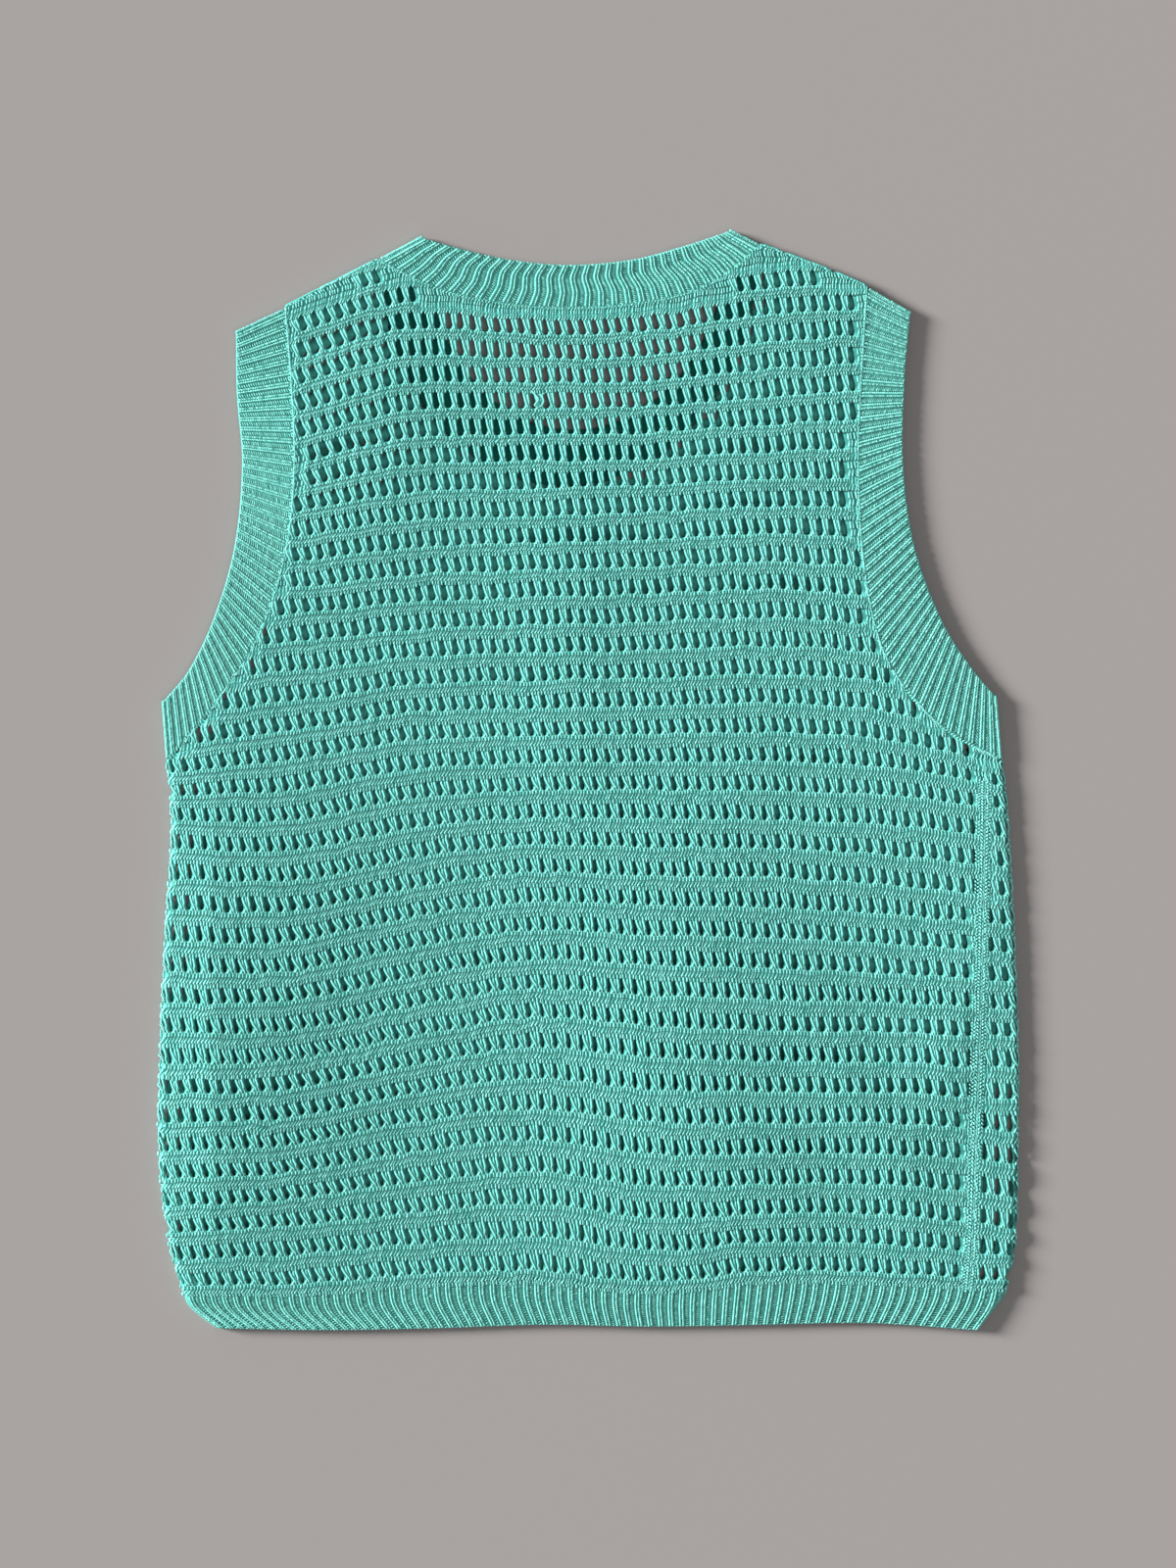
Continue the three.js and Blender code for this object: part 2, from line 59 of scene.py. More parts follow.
# One row for each measured course: the folds, the side seam, the width of a wale, and the places
# along Y at even steps from the left fold to the right one.
COURSES = [
    # course, left, seam, right, wale, heights
    (-2, -244, 226, 240, 6.90, (274, 291, 311, 306, 309, 318, 321, 321)),
    (1, -244, 226, 240, 6.95, (233, 250, 269, 265, 267, 277, 280, 280)),
    (5, -244, 226, 240, 7.00, (177, 190, 207, 209, 210, 215, 219, 217)),
    (11, -244, 226, 238, 7.15, (102, 106, 113, 116, 118, 121, 117, 110)),
    (16, -241, 226, 236, 7.30, (15, 24, 34, 37, 38, 40, 36, 20)),
    (19, -238, 226, 239, 7.40, (-27, -27, -15, -10, -10, -10, -13, -20)),
    (22, -241, 225, 242, 7.50, (-79, -79, -66, -57, -59, -60, -64, -71)),
    (27, -245, 223, 245, 7.60, (-166, -164, -151, -140, -144, -147, -148, -151)),
    (30, -245, 221, 245, 7.65, (-216, -212, -200, -192, -199, -200, -200, -205)),
    (33, -240, 219, 244, 7.65, (-262, -258, -251, -246, -254, -251, -252, -260)),
    (35, -232, 217, 239, 7.60, (-291, -291, -286, -284, -290, -284, -285, -289)),
    (36, -228, 214, 233, 7.50, (-301, -303, -299, -297, -301, -297, -297, -301)),
    (37, -213, 206, 223, 7.30, (-313, -314, -313, -311, -312, -311, -310, -314)),
]
COLUMN = {"left": 1, "seam": 2, "right": 3, "wale": 4}
course_knots = np.array([row[0] for row in COURSES], float)
height_table = np.array([row[5] for row in COURSES], float)

# Broad swells of the upper layer: place, width, length, lean and rise.
SWELLS = [
    (-205, -150, 56, 105, 0.04, 6.5),
    (62, -165, 50, 120, -0.10, 5.5),
    (158, -190, 15, 45, -0.50, 1.6),
    (206, -150, 14, 60, 0.30, 1.4),
    (-12, 60, 20, 90, 0.02, 1.4),
    (-125, 190, 28, 60, 0.10, 1.4),
]
WIDEST = 245.0
LOWEST = -316.0
FOLD_FADE = 30.0
HEM_FADE = 60.0


def smooth_through(knots, values, places):
    """Values at places along a table's knots, on a smooth curve through every row."""
    count = len(knots)
    after = np.minimum(np.arange(count) + 1, count - 1)
    before = np.maximum(np.arange(count) - 1, 0)
    steps = knots[after] - knots[before]
    slopes = (values[after] - values[before]) / (steps if values.ndim == 1 else steps[:, None])
    row = np.clip(np.searchsorted(knots, places, side="right") - 1, 0, count - 2)
    span = knots[row + 1] - knots[row]
    t = (places - knots[row]) / span

    def pick(table, rows):
        return table[rows] if table.ndim == 1 else table[rows, np.arange(len(places))]

    rise = pick(values, row + 1) - pick(values, row)
    bend = (t**3 - 2 * t**2 + t) * pick(slopes, row) + (t**3 - t**2) * pick(slopes, row + 1)
    return pick(values, row) + (3 * t**2 - 2 * t**3) * rise + span * bend


def column_at(name, course):
    """A named column of the table of courses, between its rows."""
    values = np.array([row[COLUMN[name]] for row in COURSES], float)
    return smooth_through(course_knots, values, course)


def course_height(course, across):
    """Where a course lies along Y, at a part of the way from the left fold to the right one."""
    steps = np.linspace(0, 1, height_table.shape[1])
    rows = np.array([smooth_through(steps, heights, across) for heights in height_table])
    return smooth_through(course_knots, rows, course)


def lift(x, y):
    """How far the upper layer is lifted off the lower one."""
    total = np.zeros_like(x)
    for at_x, at_y, wide, long, lean, rise in SWELLS:
        along = (y - at_y) / long
        aside = (x - at_x - lean * (y - at_y)) / wide
        total += rise * np.exp(-(along**2 + aside**2) / 2)
    sides = np.clip((WIDEST - np.abs(x)) / FOLD_FADE, 0, 1)
    return total * sides * np.clip((y - LOWEST) / HEM_FADE, 0, 1)


LINE_STEPS = 240


def evened(line):
    """The same line in even steps, as two rows of x and y."""
    lengths = np.concatenate([[0], np.cumsum(np.hypot(*np.diff(line, axis=1)))])
    even = np.linspace(0, lengths[-1], LINE_STEPS)
    return np.array([np.interp(even, lengths, line[axis]) for axis in (0, 1)])


def curve_through(points):
    """A smooth curve through a few points, in even steps."""
    points = np.array(points, float)
    reach = np.concatenate([[0], np.cumsum(np.hypot(*np.diff(points, axis=0).T))])
    fine = np.linspace(0, reach[-1], 4 * LINE_STEPS)
    return evened(np.array([smooth_through(reach, points[:, axis], fine) for axis in (0, 1)]))


# Where the panels end at the bands and the shoulders, as on the real vest: the armholes from the
# shoulder to the pit, and the neck from left to right.
LEFT_ARMHOLE = [
    (-173, 267), (-170, 230), (-168, 180), (-173, 130), (-188, 83), (-212, 45), (-239.5, 11.5),
]
RIGHT_ARMHOLE = [
    (159, 279), (156.5, 240), (154, 180), (158, 118), (170, 70), (198, 33.5), (234.5, 11.5),
]
BACK_NECK = [
    (-118, 295.5), (-91, 282), (-58, 273), (-12, 269), (40, 273.5), (72, 284), (97.5, 303.5),
]
LEFT_SHOULDER = [(-174, 269.3), (-119, 297.5)]
RIGHT_SHOULDER = [(98.5, 305.5), (139.5, 290), (160, 281)]

left_seam = curve_through(LEFT_ARMHOLE)
right_seam = curve_through(RIGHT_ARMHOLE)
neck_seam = curve_through(BACK_NECK)
top_line = np.hstack([np.array(LEFT_SHOULDER).T, neck_seam, np.array(RIGHT_SHOULDER).T])


def side_limits(y):
    """The panel's side limits along X at a height, from the armhole seams."""
    low = np.interp(y, left_seam[1][::-1], left_seam[0][::-1])
    high = np.interp(y, right_seam[1][::-1], right_seam[0][::-1])
    return low, high


def top_limit(x):
    """The panel's upper limit along Y, from the shoulders and the neck seam."""
    return np.interp(x, top_line[0], top_line[1])


def cloth_points(x, course, depth):
    """Points of the tube, from places on the flat cloth. Past a fold the cloth turns round it and
    runs back underneath. depth is how far outside the wall's inner face a point lies."""
    left = column_at("left", course) + ROLL
    right = column_at("right", course) - ROLL
    beyond = np.maximum(np.maximum(left - x, x - right), 0)
    side = np.where(left - x > x - right, -1.0, 1.0)
    turn = np.minimum(beyond / MID_RADIUS, math.pi)
    inward = np.maximum(beyond - HALF_TURN, 0)
    plan = np.where(beyond > 0, np.where(side < 0, left + inward, right - inward), x)
    y = course_height(course, np.clip((plan - left) / (right - left), 0, 1))
    rolled = (beyond > 0) & (inward <= 0)
    low, high = side_limits(y)
    inside = np.clip(plan, low + SEAM_GAP, high - SEAM_GAP)
    plan = np.where((y > PIT_HEIGHT) & ~rolled, inside, plan)
    y = np.minimum(y, top_limit(plan) - SEAM_GAP)
    y = np.where(rolled, np.minimum(y, PIT_HEIGHT - SEAM_GAP), y)
    return tube_points(plan, y, side, turn, depth)


def tube_points(plan, y, side, turn, depth):
    """Points round a fold line, from 0 on top to a half turn underneath."""
    radius = INNER_RADIUS + depth
    rise = np.where(turn > 0, 0, lift(plan, y))
    places = [plan + side * radius * np.sin(turn), y, ROLL + radius * np.cos(turn) + rise]
    return np.array(np.broadcast_arrays(*places)).T


def under_points(plan, course, depth, top):
    """Points of the lower layer, from places seen from above."""
    left = column_at("left", course) + ROLL
    right = column_at("right", course) - ROLL
    y = course_height(course, np.clip((plan - left) / (right - left), 0, 1))
    low, high = side_limits(y)
    plan = np.where(y > PIT_HEIGHT, np.clip(plan, low + SEAM_GAP, high - SEAM_GAP), plan)
    y = np.minimum(y, top(plan) - SEAM_GAP)
    return tube_points(plan, y, 1.0, np.full_like(plan, math.pi), depth)


def panel_points(panel, wale, course, depth):
    """Points of a panel, from its wales and courses, kept between the piece's own two seams."""
    if panel["under"]:
        wale, course = wale + 0.5, course + panel["shift"](wale, course)
    x = np.clip(wale * column_at("wale", course), panel["low"](course), panel["high"](course))
    if panel["under"]:
        return under_points(x, course, depth, panel["top"])
    return cloth_points(x, course, depth)


# The yarn: a soft mint cotton blend, spun and a little fuzzy. It is matte with a faint sheen at
# grazing angles. Its crests are lit and the hollows between the loops are much darker, and both are
# painted into its colour: a painted highlight on the crests and painted shade in the hollows.
BLOTCHES_A_METRE = 22.0  # each about 45 mm wide
FIBRES_A_METRE = 1400.0  # each about 0.7 mm wide, coarser than real ones so that they show
FIBRE_TONE = 0.16


def linear(hex_colour):
    """An sRGB hex colour as linear light."""
    parts = [int(hex_colour[i : i + 2], 16) / 255 for i in (1, 3, 5)]
    return [p / 12.92 if p <= 0.04045 else ((p + 0.055) / 1.055) ** 2.4 for p in parts] + [1.0]


def add_node(tree, kind, settings=None, links=None):
    """Adds a node with its settings, and links its inputs from other nodes' outputs."""
    node = tree.nodes.new(kind)
    for name, value in (settings or {}).items():
        if isinstance(name, int) or name in node.inputs:
            node.inputs[name].default_value = value
        else:
            setattr(node, name, value)
    for name, output in (links or {}).items():
        tree.links.new(output, node.inputs[name])
    return node


def yarn_material(name, painted_hollow_shade, body, painted_crest_highlight):
    """Matte yarn whose colour follows the painted light of the knitting, from painted shade in its
    hollows to a painted highlight on its crests, with fibres as fine bump.
    """
    material = bpy.data.materials.new(name)
    material.use_nodes = True
    tree = material.node_tree
    tree.nodes.clear()
    painted_light_and_tone = add_node(tree, "ShaderNodeAttribute", {"attribute_name": "painted_light_and_tone"})
    place = add_node(tree, "ShaderNodeTexCoord")
    blotch, fibre = (
        add_node(
            tree,
            "ShaderNodeTexNoise",
            {"Scale": scale, "Detail": detail},
            {"Vector": place.outputs["Object"]},
        )
        for scale, detail in ((BLOTCHES_A_METRE, 3.0), (FIBRES_A_METRE, 2.0))
    )
    mixed = add_node(
        tree,
        "ShaderNodeMath",
        {"operation": "MULTIPLY_ADD", 1: FIBRE_TONE},
        {0: fibre.outputs["Fac"], 2: painted_light_and_tone.outputs["Fac"]},
    )
    shifted = add_node(
        tree, "ShaderNodeMath", {"operation": "SUBTRACT", 1: FIBRE_TONE / 2}, {0: mixed.outputs[0]}
    )
    # Painted light: the ramp paints shade in the hollows and a highlight on the crests.
    ramp = add_node(tree, "ShaderNodeValToRGB", None, {"Fac": shifted.outputs[0]})
    ramp.color_ramp.elements[0].color = linear(painted_hollow_shade)
    ramp.color_ramp.elements[1].color = linear(painted_crest_highlight)
    middle = ramp.color_ramp.elements.new(0.55)
    middle.color = linear(body)
    wander = add_node(
        tree, "ShaderNodeMapRange", {"To Min": 0.93, "To Max": 1.06}, {"Value": blotch.outputs["Fac"]}
    )
    tint = add_node(
        tree,
        "ShaderNodeHueSaturation",
        None,
        {"Color": ramp.outputs["Color"], "Value": wander.outputs["Result"]},
    )
    bump = add_node(
        tree, "ShaderNodeBump", {"Strength": 0.35, "Distance": 0.0002}, {"Height": fibre.outputs["Fac"]}
    )
    shader = add_node(
        tree,
        "ShaderNodeBsdfPrincipled",
        {"Roughness": 0.92, "Sheen Weight": 0.12, "Sheen Roughness": 0.5, "Specular IOR Level": 0.15},
        {"Base Color": tint.outputs["Color"], "Normal": bump.outputs["Normal"]},
    )
    output = add_node(tree, "ShaderNodeOutputMaterial")
    tree.links.new(shader.outputs["BSDF"], output.inputs["Surface"])
    return material


panel_yarn = yarn_material("combed_cotton_panel", "#06564c", "#6ad5c9", "#a6fdf4")


# The net of the back panel: one cell is the cloth round a tall eyelet, from the middle of one thick
# course to the middle of the next. It is machine knitted in one piece with its ribs and posts.
def new_mesh(name, points_mm, faces, painted_light_and_tone):
    """An object from points in millimetres. Its painted light runs from 0, painted shade in a hollow, to
    1, a painted highlight on a crest.
    """
    mesh = bpy.data.meshes.new(name)
    mesh.from_pydata((points_mm * MM).tolist(), [], faces)
    piece = bpy.data.objects.new(name, mesh)
    bpy.context.collection.objects.link(piece)
    mesh.polygons.foreach_set("use_smooth", [True] * len(mesh.polygons))
    layer = mesh.attributes.new("painted_light_and_tone", "FLOAT", "POINT")
    layer.data.foreach_set("value", np.asarray(painted_light_and_tone, np.float32))
    return piece


def modelled(obj):
    """The corners and faces of a repeat that was modelled, which is then taken away."""
    corners = np.array([vertex.co for vertex in obj.data.vertices])
    faces = [list(face.vertices) for face in obj.data.polygons]
    mesh = obj.data
    bpy.data.objects.remove(obj)
    bpy.data.meshes.remove(mesh)
    return corners, faces


def finish_piece(piece, material):
    """Presses a piece flat where it lies on the surface below, gives it its material,
    and fixes it to the body."""
    places = np.empty(3 * len(piece.data.vertices), np.float32)
    piece.data.vertices.foreach_get("co", places)
    places[2::3] = np.maximum(places[2::3], 0)
    piece.data.vertices.foreach_set("co", places)
    piece.data.materials.clear()
    piece.data.materials.append(material)
    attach(piece, "root")


NET_WALL = 1.0


def walled(piece):
    """Gives a net its thickness, inwards."""
    wall = piece.modifiers.new("wall", "SOLIDIFY")
    wall.thickness = NET_WALL * MM
    wall.offset = -1
    wall.use_even_offset = False
    bpy.ops.object.select_all(action="DESELECT")
    piece.select_set(True)
    bpy.context.view_layer.objects.active = piece
    bpy.ops.object.modifier_apply(modifier="wall")


# The corners of the eyelet and of the cell round it, as parts of a wale and of a course.
EYELET = [
    (0.51, 0.20), (0.64, 0.24), (0.69, 0.38), (0.66, 0.62), (0.61, 0.80),
    (0.50, 0.84), (0.39, 0.80), (0.34, 0.62), (0.32, 0.38), (0.37, 0.24),
]
CELL_EDGE = [
    (0.5, 0), (1, 0), (1, 0.35), (1, 0.65), (1, 1),
    (0.5, 1), (0, 1), (0, 0.65), (0, 0.35), (0, 0),
]
EYELET_HALF = 0.19
NET_FACE = 1.6
COURSE_SWELL = 0.5
UNDER_SWELL_PART = 0.3

bpy.ops.object.select_all(action="DESELECT")
bpy.ops.mesh.primitive_circle_add(vertices=len(EYELET), radius=1)
eyelet = bpy.context.object
for vertex, (u, v) in zip(eyelet.data.vertices, EYELET):
    vertex.co = (u, v, 0)
bpy.ops.object.mode_set(mode="EDIT")
bpy.ops.mesh.select_all(action="SELECT")
bpy.ops.mesh.extrude_edges_move()
bpy.ops.object.mode_set(mode="OBJECT")
for vertex, (u, v) in zip(eyelet.data.vertices[len(EYELET) :], CELL_EDGE):
    vertex.co = (u, v, 0)
net_corners, net_faces = modelled(eyelet)


def turned_up(corners, faces):
    """Faces that all run anticlockwise, seen from outside the cloth."""
    turned = []
    for face in faces:
        x, y = corners[face, 0], corners[face, 1]
        area = np.sum(x * np.roll(y, -1) - np.roll(x, -1) * y)
        turned.append(face if area > 0 else face[::-1])
    return turned


net_faces = turned_up(net_corners, net_faces)
net_plug = turned_up(net_corners, [list(range(len(EYELET)))])[0]

# The knitting isn't perfectly even: each loop strays a little from its place.
STRAY_WALES, STRAY_COURSES = 90, 60
FIRST_WALE, FIRST_COURSE = -45, -5
rng = np.random.default_rng(7)
stray = rng.normal(0, 1, (3, STRAY_WALES, STRAY_COURSES))


def strayed(wale, course, which):
    """A small smooth wandering over the cloth, the same for all that lies at one place."""
    u = np.clip(wale - FIRST_WALE, 0, STRAY_WALES - 2)
    v = np.clip(course - FIRST_COURSE, 0, STRAY_COURSES - 2)
    i, j = u.astype(int), v.astype(int)
    fu, fv = u - i, v - j
    table = stray[which]
    low = table[i, j] * (1 - fu) + table[i + 1, j] * fu
    high = table[i, j + 1] * (1 - fu) + table[i + 1, j + 1] * fu
    return low * (1 - fv) + high * fv


# How the real vest's eyelets are pulled open: wide in the yoke, which hangs from the shoulders,
# narrow low in the middle, and wider again low on the right.
EVEN_OPEN = 1.03
YOKE_WIDER = 0.33
MIDDLE_NARROWER = 0.34
RIGHT_WIDER = 0.16


def eyelet_width(x, y):
    """How wide the eyelets are pulled open, against the even repeat."""
    yoke = np.clip((y + 20) / 240, 0, 1)
    middle = np.exp(-(((x + 20) / 130) ** 2)) * np.clip((60 - y) / 150, 0, 1)
    right = np.clip((x - 60) / 120, 0, 1) * np.clip((20 - y) / 150, 0, 1)
    return EVEN_OPEN + YOKE_WIDER * yoke - MIDDLE_NARROWER * middle + RIGHT_WIDER * right


LOW_SQUEEZE = 0.24
YOKE_STRETCH = 0.36


def eyelet_squeeze(y):
    """How much the thick courses press the eyelets low. The yoke's are stretched instead."""
    return LOW_SQUEEZE - YOKE_STRETCH * np.clip((y - 30) / 170, 0, 1)


LEFTMOST = -244
WHOLE_WIDTH = 484
SLOPE_STEP = 0.03


def lean_of(x, course):
    """How far the loops lean, as a part of a wale: square to the course, and more on the left."""
    across = np.clip((x - LEFTMOST) / WHOLE_WIDTH, 0.01, 0.96)
    climb = course_height(course, across + SLOPE_STEP) - course_height(course, across)
    slope = climb / (SLOPE_STEP * WHOLE_WIDTH)
    return 0.05 + 0.04 * np.clip((150 - x) / 350, 0, 1) + 0.3 * slope


# The even repeat: the pitch of its wales and courses, and how high its course 0 lies along Y.
EVEN_WALE = 7.4
EVEN_COURSE = 17.0
EVEN_TOP = 300


def cloth_place(wale, course, lower_course):
    """Where a place in the even repeat comes to lie in the worked cloth, in wales and courses."""
    x = wale * EVEN_WALE
    y = EVEN_TOP - EVEN_COURSE * course
    cell = np.floor(wale)
    u = wale - cell - 0.5
    reach = np.abs(u)
    uneven = 1 + 0.13 * strayed(3 * wale, lower_course, 2)
    wide = eyelet_width(x, y) * np.clip(uneven, 0.6, 1.4)
    inner = reach * wide
    outer = EYELET_HALF * wide + (reach - EYELET_HALF) * (0.5 - EYELET_HALF * wide) / (0.5 - EYELET_HALF)
    u = np.sign(u) * np.where(reach < EYELET_HALF, inner, outer)
    v = lower_course - course
    course = course - eyelet_squeeze(y) * np.sin(2 * math.pi * (v - 0.02)) / (2 * math.pi)
    drift = lean_of(x, lower_course - 0.5) * np.sin(2 * math.pi * v)
    moved_wale = cell + 0.5 + u + drift + 0.05 * strayed(wale, course, 0)
    return moved_wale, course + 0.035 * strayed(wale, course, 1)


# How much of the cloth stays closed at the panels' sides, at the neck and at the shoulders.
SIDE_ROOM = 0.3
NECK_ROOM = 8.5
SHOULDER_ROOM = 7.0
NECK_MIDDLE = -10
NECK_HALF = 108
OVER_TOP = 10
ROWS = np.arange(-1, LAST_COURSE + 1)


def cell_centres(panel):
    """The numbers of a panel's cells, and which of them have an eyelet."""
    i, j = np.meshgrid(panel["wales"], ROWS, indexing="ij")
    i, j = i.ravel(), j.ravel()
    wale, course = i + 0.5, j - 0.5
    width = column_at("wale", course)
    x = wale * width
    low, high = panel["low"](course), panel["high"](course)
    left = column_at("left", course) + ROLL
    right = column_at("right", course) - ROLL
    y = course_height(course, np.clip((x - left) / (right - left), 0, 1))
    side_low, side_high = side_limits(y)
    above = y > PIT_HEIGHT
    low = np.where(above, np.maximum(low, side_low), low)
    high = np.where(above, np.minimum(high, side_high), high)
    top = panel["top"](x)
    here = (x > low - width) & (x < high + width) & (y < top + OVER_TOP)
    room = width * SIDE_ROOM + panel["margin"]
    open_cell = (x > low + room) & (x < high - room)
    open_cell &= y < top - np.where(np.abs(x - NECK_MIDDLE) < NECK_HALF, NECK_ROOM, SHOULDER_ROOM)
    return i[here], j[here], open_cell[here]


def knitted_net(name, panel, painted_ground_shade):
    """A panel's net of cells, with an eyelet in each cell that isn't closed."""
    i, j, open_cell = cell_centres(panel)
    wale = (net_corners[:, 0][None, :] + i[:, None]).ravel()
    course = (j[:, None] - net_corners[:, 1][None, :]).ravel()
    lower = np.repeat(j, len(net_corners))
    keys = np.round(np.stack([wale, course], axis=1) * 1000).astype(np.int64)
    _, first, back = np.unique(keys, axis=0, return_index=True, return_inverse=True)
    back = back.ravel()
    faces = []
    for cell in range(len(i)):
        start = cell * len(net_corners)
        faces.extend([[int(back[start + corner]) for corner in face] for face in net_faces])
        if not open_cell[cell]:
            faces.append([int(back[start + corner]) for corner in net_plug])
    if panel["under"]:
        faces = [face[::-1] for face in faces]
    wale, course, lower = wale[first], course[first], lower[first]
    v = lower - course
    banded = np.cos(2 * math.pi * v)
    swell = COURSE_SWELL * np.clip(banded, -0.4, 1)
    depth = NET_FACE + swell * (UNDER_SWELL_PART if panel["under"] else 1)
    points = panel_points(panel, *cloth_place(wale, course, lower), depth)
    # Painted light: the net's ground is painted dark, and lighter on its raised thick courses.
    painted_light_and_tone = painted_ground_shade + 0.3 * np.clip(banded + 0.3, 0, 1)
    return new_mesh(name, points, faces, painted_light_and_tone)


def split_cells(panel):
    """The numbers of the cells with an eyelet, and of those without."""
    i, j, open_cell = cell_centres(panel)
    return (i[open_cell], j[open_cell]), (i[~open_cell], j[~open_cell])


def left_under(course):
    """Where the back ends, underneath on the left, along the flat cloth."""
    return column_at("left", course) + ROLL - HALF_TURN - TURNED_UNDER


def side_seam(course):
    """The side seam on top, near the right fold."""
    return column_at("seam", course)


# A panel: its wales, its two ends along the flat cloth, its upper limit, whether it lies under the
# back, and how far its eyelets keep from its ends.
BACK = {
    "wales": np.arange(-38, 38),
    "low": left_under,
    "high": side_seam,
    "top": top_limit,
    "under": False,
    "margin": 1.2,
}
# The painted shade of the net's ground, between the loops that lie on it.
TOP_PAINTED_GROUND_SHADE = 0.25
back_net = knitted_net("back_net", BACK, TOP_PAINTED_GROUND_SHADE)
walled(back_net)
finish_piece(back_net, panel_yarn)
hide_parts("back_panel")


# The yarn of the net: each post between two eyelets is three strands drawn down from the course
# above, a curved one on its left, a short one in the middle and a broad one on its right. They are
# knitted with the net, of the same mint cotton.
STRAND_PATHS = [
    # half width, half height, then u, v and depth of each point, downwards
    (
        0.62,
        0.60,
        (
            (-0.29, 0.88, 1.6),
            (-0.24, 0.70, 2.3),
            (-0.17, 0.50, 2.5),
            (-0.02, 0.30, 2.4),
            (0.05, 0.16, 2.0),
        ),
    ),
    (0.62, 0.52, ((-0.06, 0.86, 1.8), (-0.01, 0.60, 2.2), (0.03, 0.34, 2.0))),
    (0.70, 0.62, ((0.06, 0.88, 1.6), (0.20, 0.70, 2.2), (0.22, 0.46, 2.4), (0.12, 0.26, 2.1))),
]
# The painted light of each strand's four sides: a painted highlight on top, painted shade underneath.
STRAND_PAINTED_LIGHT = [0.5, 0.88, 0.42, 0.1]
STRAND_TAPER = 0.6


def facing(points_at, depth):
    """Points at a depth, and the way that the cloth faces there."""
    points = points_at(depth)
    out = points_at(depth + 1.0) - points
    return points, out / np.linalg.norm(out, axis=-1, keepdims=True)


def laid_strands(paths, outs, half_wide, half_high):
    """Four-sided strands along paths of points, with their painted light, lit on top and shaded below.
    """
    count, steps = paths.shape[:2]
    ahead = np.minimum(np.arange(steps) + 1, steps - 1)
    behind = np.maximum(np.arange(steps) - 1, 0)
    run = paths[:, ahead] - paths[:, behind]
    side = np.cross(run, outs)
    side /= np.maximum(np.linalg.norm(side, axis=-1, keepdims=True), 1e-9)
    taper = np.ones(steps)
    taper[[0, -1]] = STRAND_TAPER
    taper = taper[None, :, None]
    ring = [
        paths + side * half_wide * taper,
        paths + outs * half_high * taper,
        paths - side * half_wide * taper,
        paths - outs * half_high * taper,
    ]
    points = np.stack(ring, axis=2).reshape(-1, 3)
    painted_light_and_tone = np.tile(STRAND_PAINTED_LIGHT, count * steps)
    faces = []
    for here in range(0, 4 * (steps - 1), 4):
        for corner in range(4):
            turn = (corner + 1) % 4
            faces.append((here + corner, here + 4 + corner, here + 4 + turn, here + turn))
    last = 4 * (steps - 1)
    faces += [(0, 1, 2, 3), (last + 3, last + 2, last + 1, last)]
    starts = np.arange(count)[:, None, None] * 4 * steps
    return points, (np.array(faces)[None] + starts).reshape(-1, 4).tolist(), painted_light_and_tone


def joined(name, parts):
    """One object from many groups of points, faces and tones."""
    points, faces, painted_lights_and_tones, start = [], [], [], 0
    for group_points, group_faces, group_painted_light_and_tone in parts:
        points.append(group_points)
        faces.extend([[start + corner for corner in face] for face in group_faces])
        painted_lights_and_tones.append(group_painted_light_and_tone)
        start += len(group_points)
    return new_mesh(name, np.concatenate(points), faces, np.concatenate(painted_lights_and_tones))


def on_net(panel, cells):
    """Turns a place in a net's cells into a function of depth that gives its points."""
    i, j = cells

    def lay(u, v):
        wale, course = cloth_place(i + u, j - v, j)
        return lambda depth: panel_points(panel, wale, course, depth)

    return lay


def net_strands(name, panel, cells):
    """The strands of the posts on the left of the eyelets."""
    lay = on_net(panel, cells)
    parts = []
    for half_wide, half_high, path in STRAND_PATHS:
        placed = [facing(lay(u, v), depth) for u, v, depth in path]
        points = np.stack([point for point, _ in placed], axis=1)
        outs = np.stack([out for _, out in placed], axis=1)
        parts.append(laid_strands(points, outs, half_wide, half_high))
    return joined(name, parts)


# The thick courses: short slanted loops of the same yarn side by side in three rows, and at the foot
# of each post two that spread like a roof. They are knitted with the net. One loop is modelled, a
# small ridge with narrow ends, and copied.
RIDGE_HALF = 0.24
LEG_BASE = -0.1
SHOULDER_HALF = 0.26
TIP_NARROW = 0.3
TIP_HALF = 0.5
bpy.ops.object.select_all(action="DESELECT")
bpy.ops.mesh.primitive_cube_add(size=2)
spindle = bpy.context.object
for vertex in spindle.data.vertices:
    x, y, z = vertex.co
    if y > 0:
        vertex.co = (0, 1, z * RIDGE_HALF)
    elif x * z > 0:
        vertex.co = (x, LEG_BASE, z * SHOULDER_HALF)
    else:
        vertex.co = (x * TIP_NARROW, LEG_BASE, z * TIP_HALF)
bpy.ops.object.mode_set(mode="EDIT")
bpy.ops.mesh.select_all(action="SELECT")
bpy.ops.mesh.remove_doubles(threshold=0.01)
bpy.ops.object.mode_set(mode="OBJECT")
leg_corners, leg_faces = modelled(spindle)
leg_faces = [face[::-1] for face in leg_faces]
SHORTEST = 0.7
UNEVEN_HEIGHT = 0.12
UNEVEN_TONE = 0.12


def repeated(corners, faces, count):
    """The faces of many copies of one repeat, each numbered after the last."""
    table = []
    for copy in range(count):
        start = copy * len(corners)
        table.extend([[start + corner for corner in face] for face in faces])
    return table


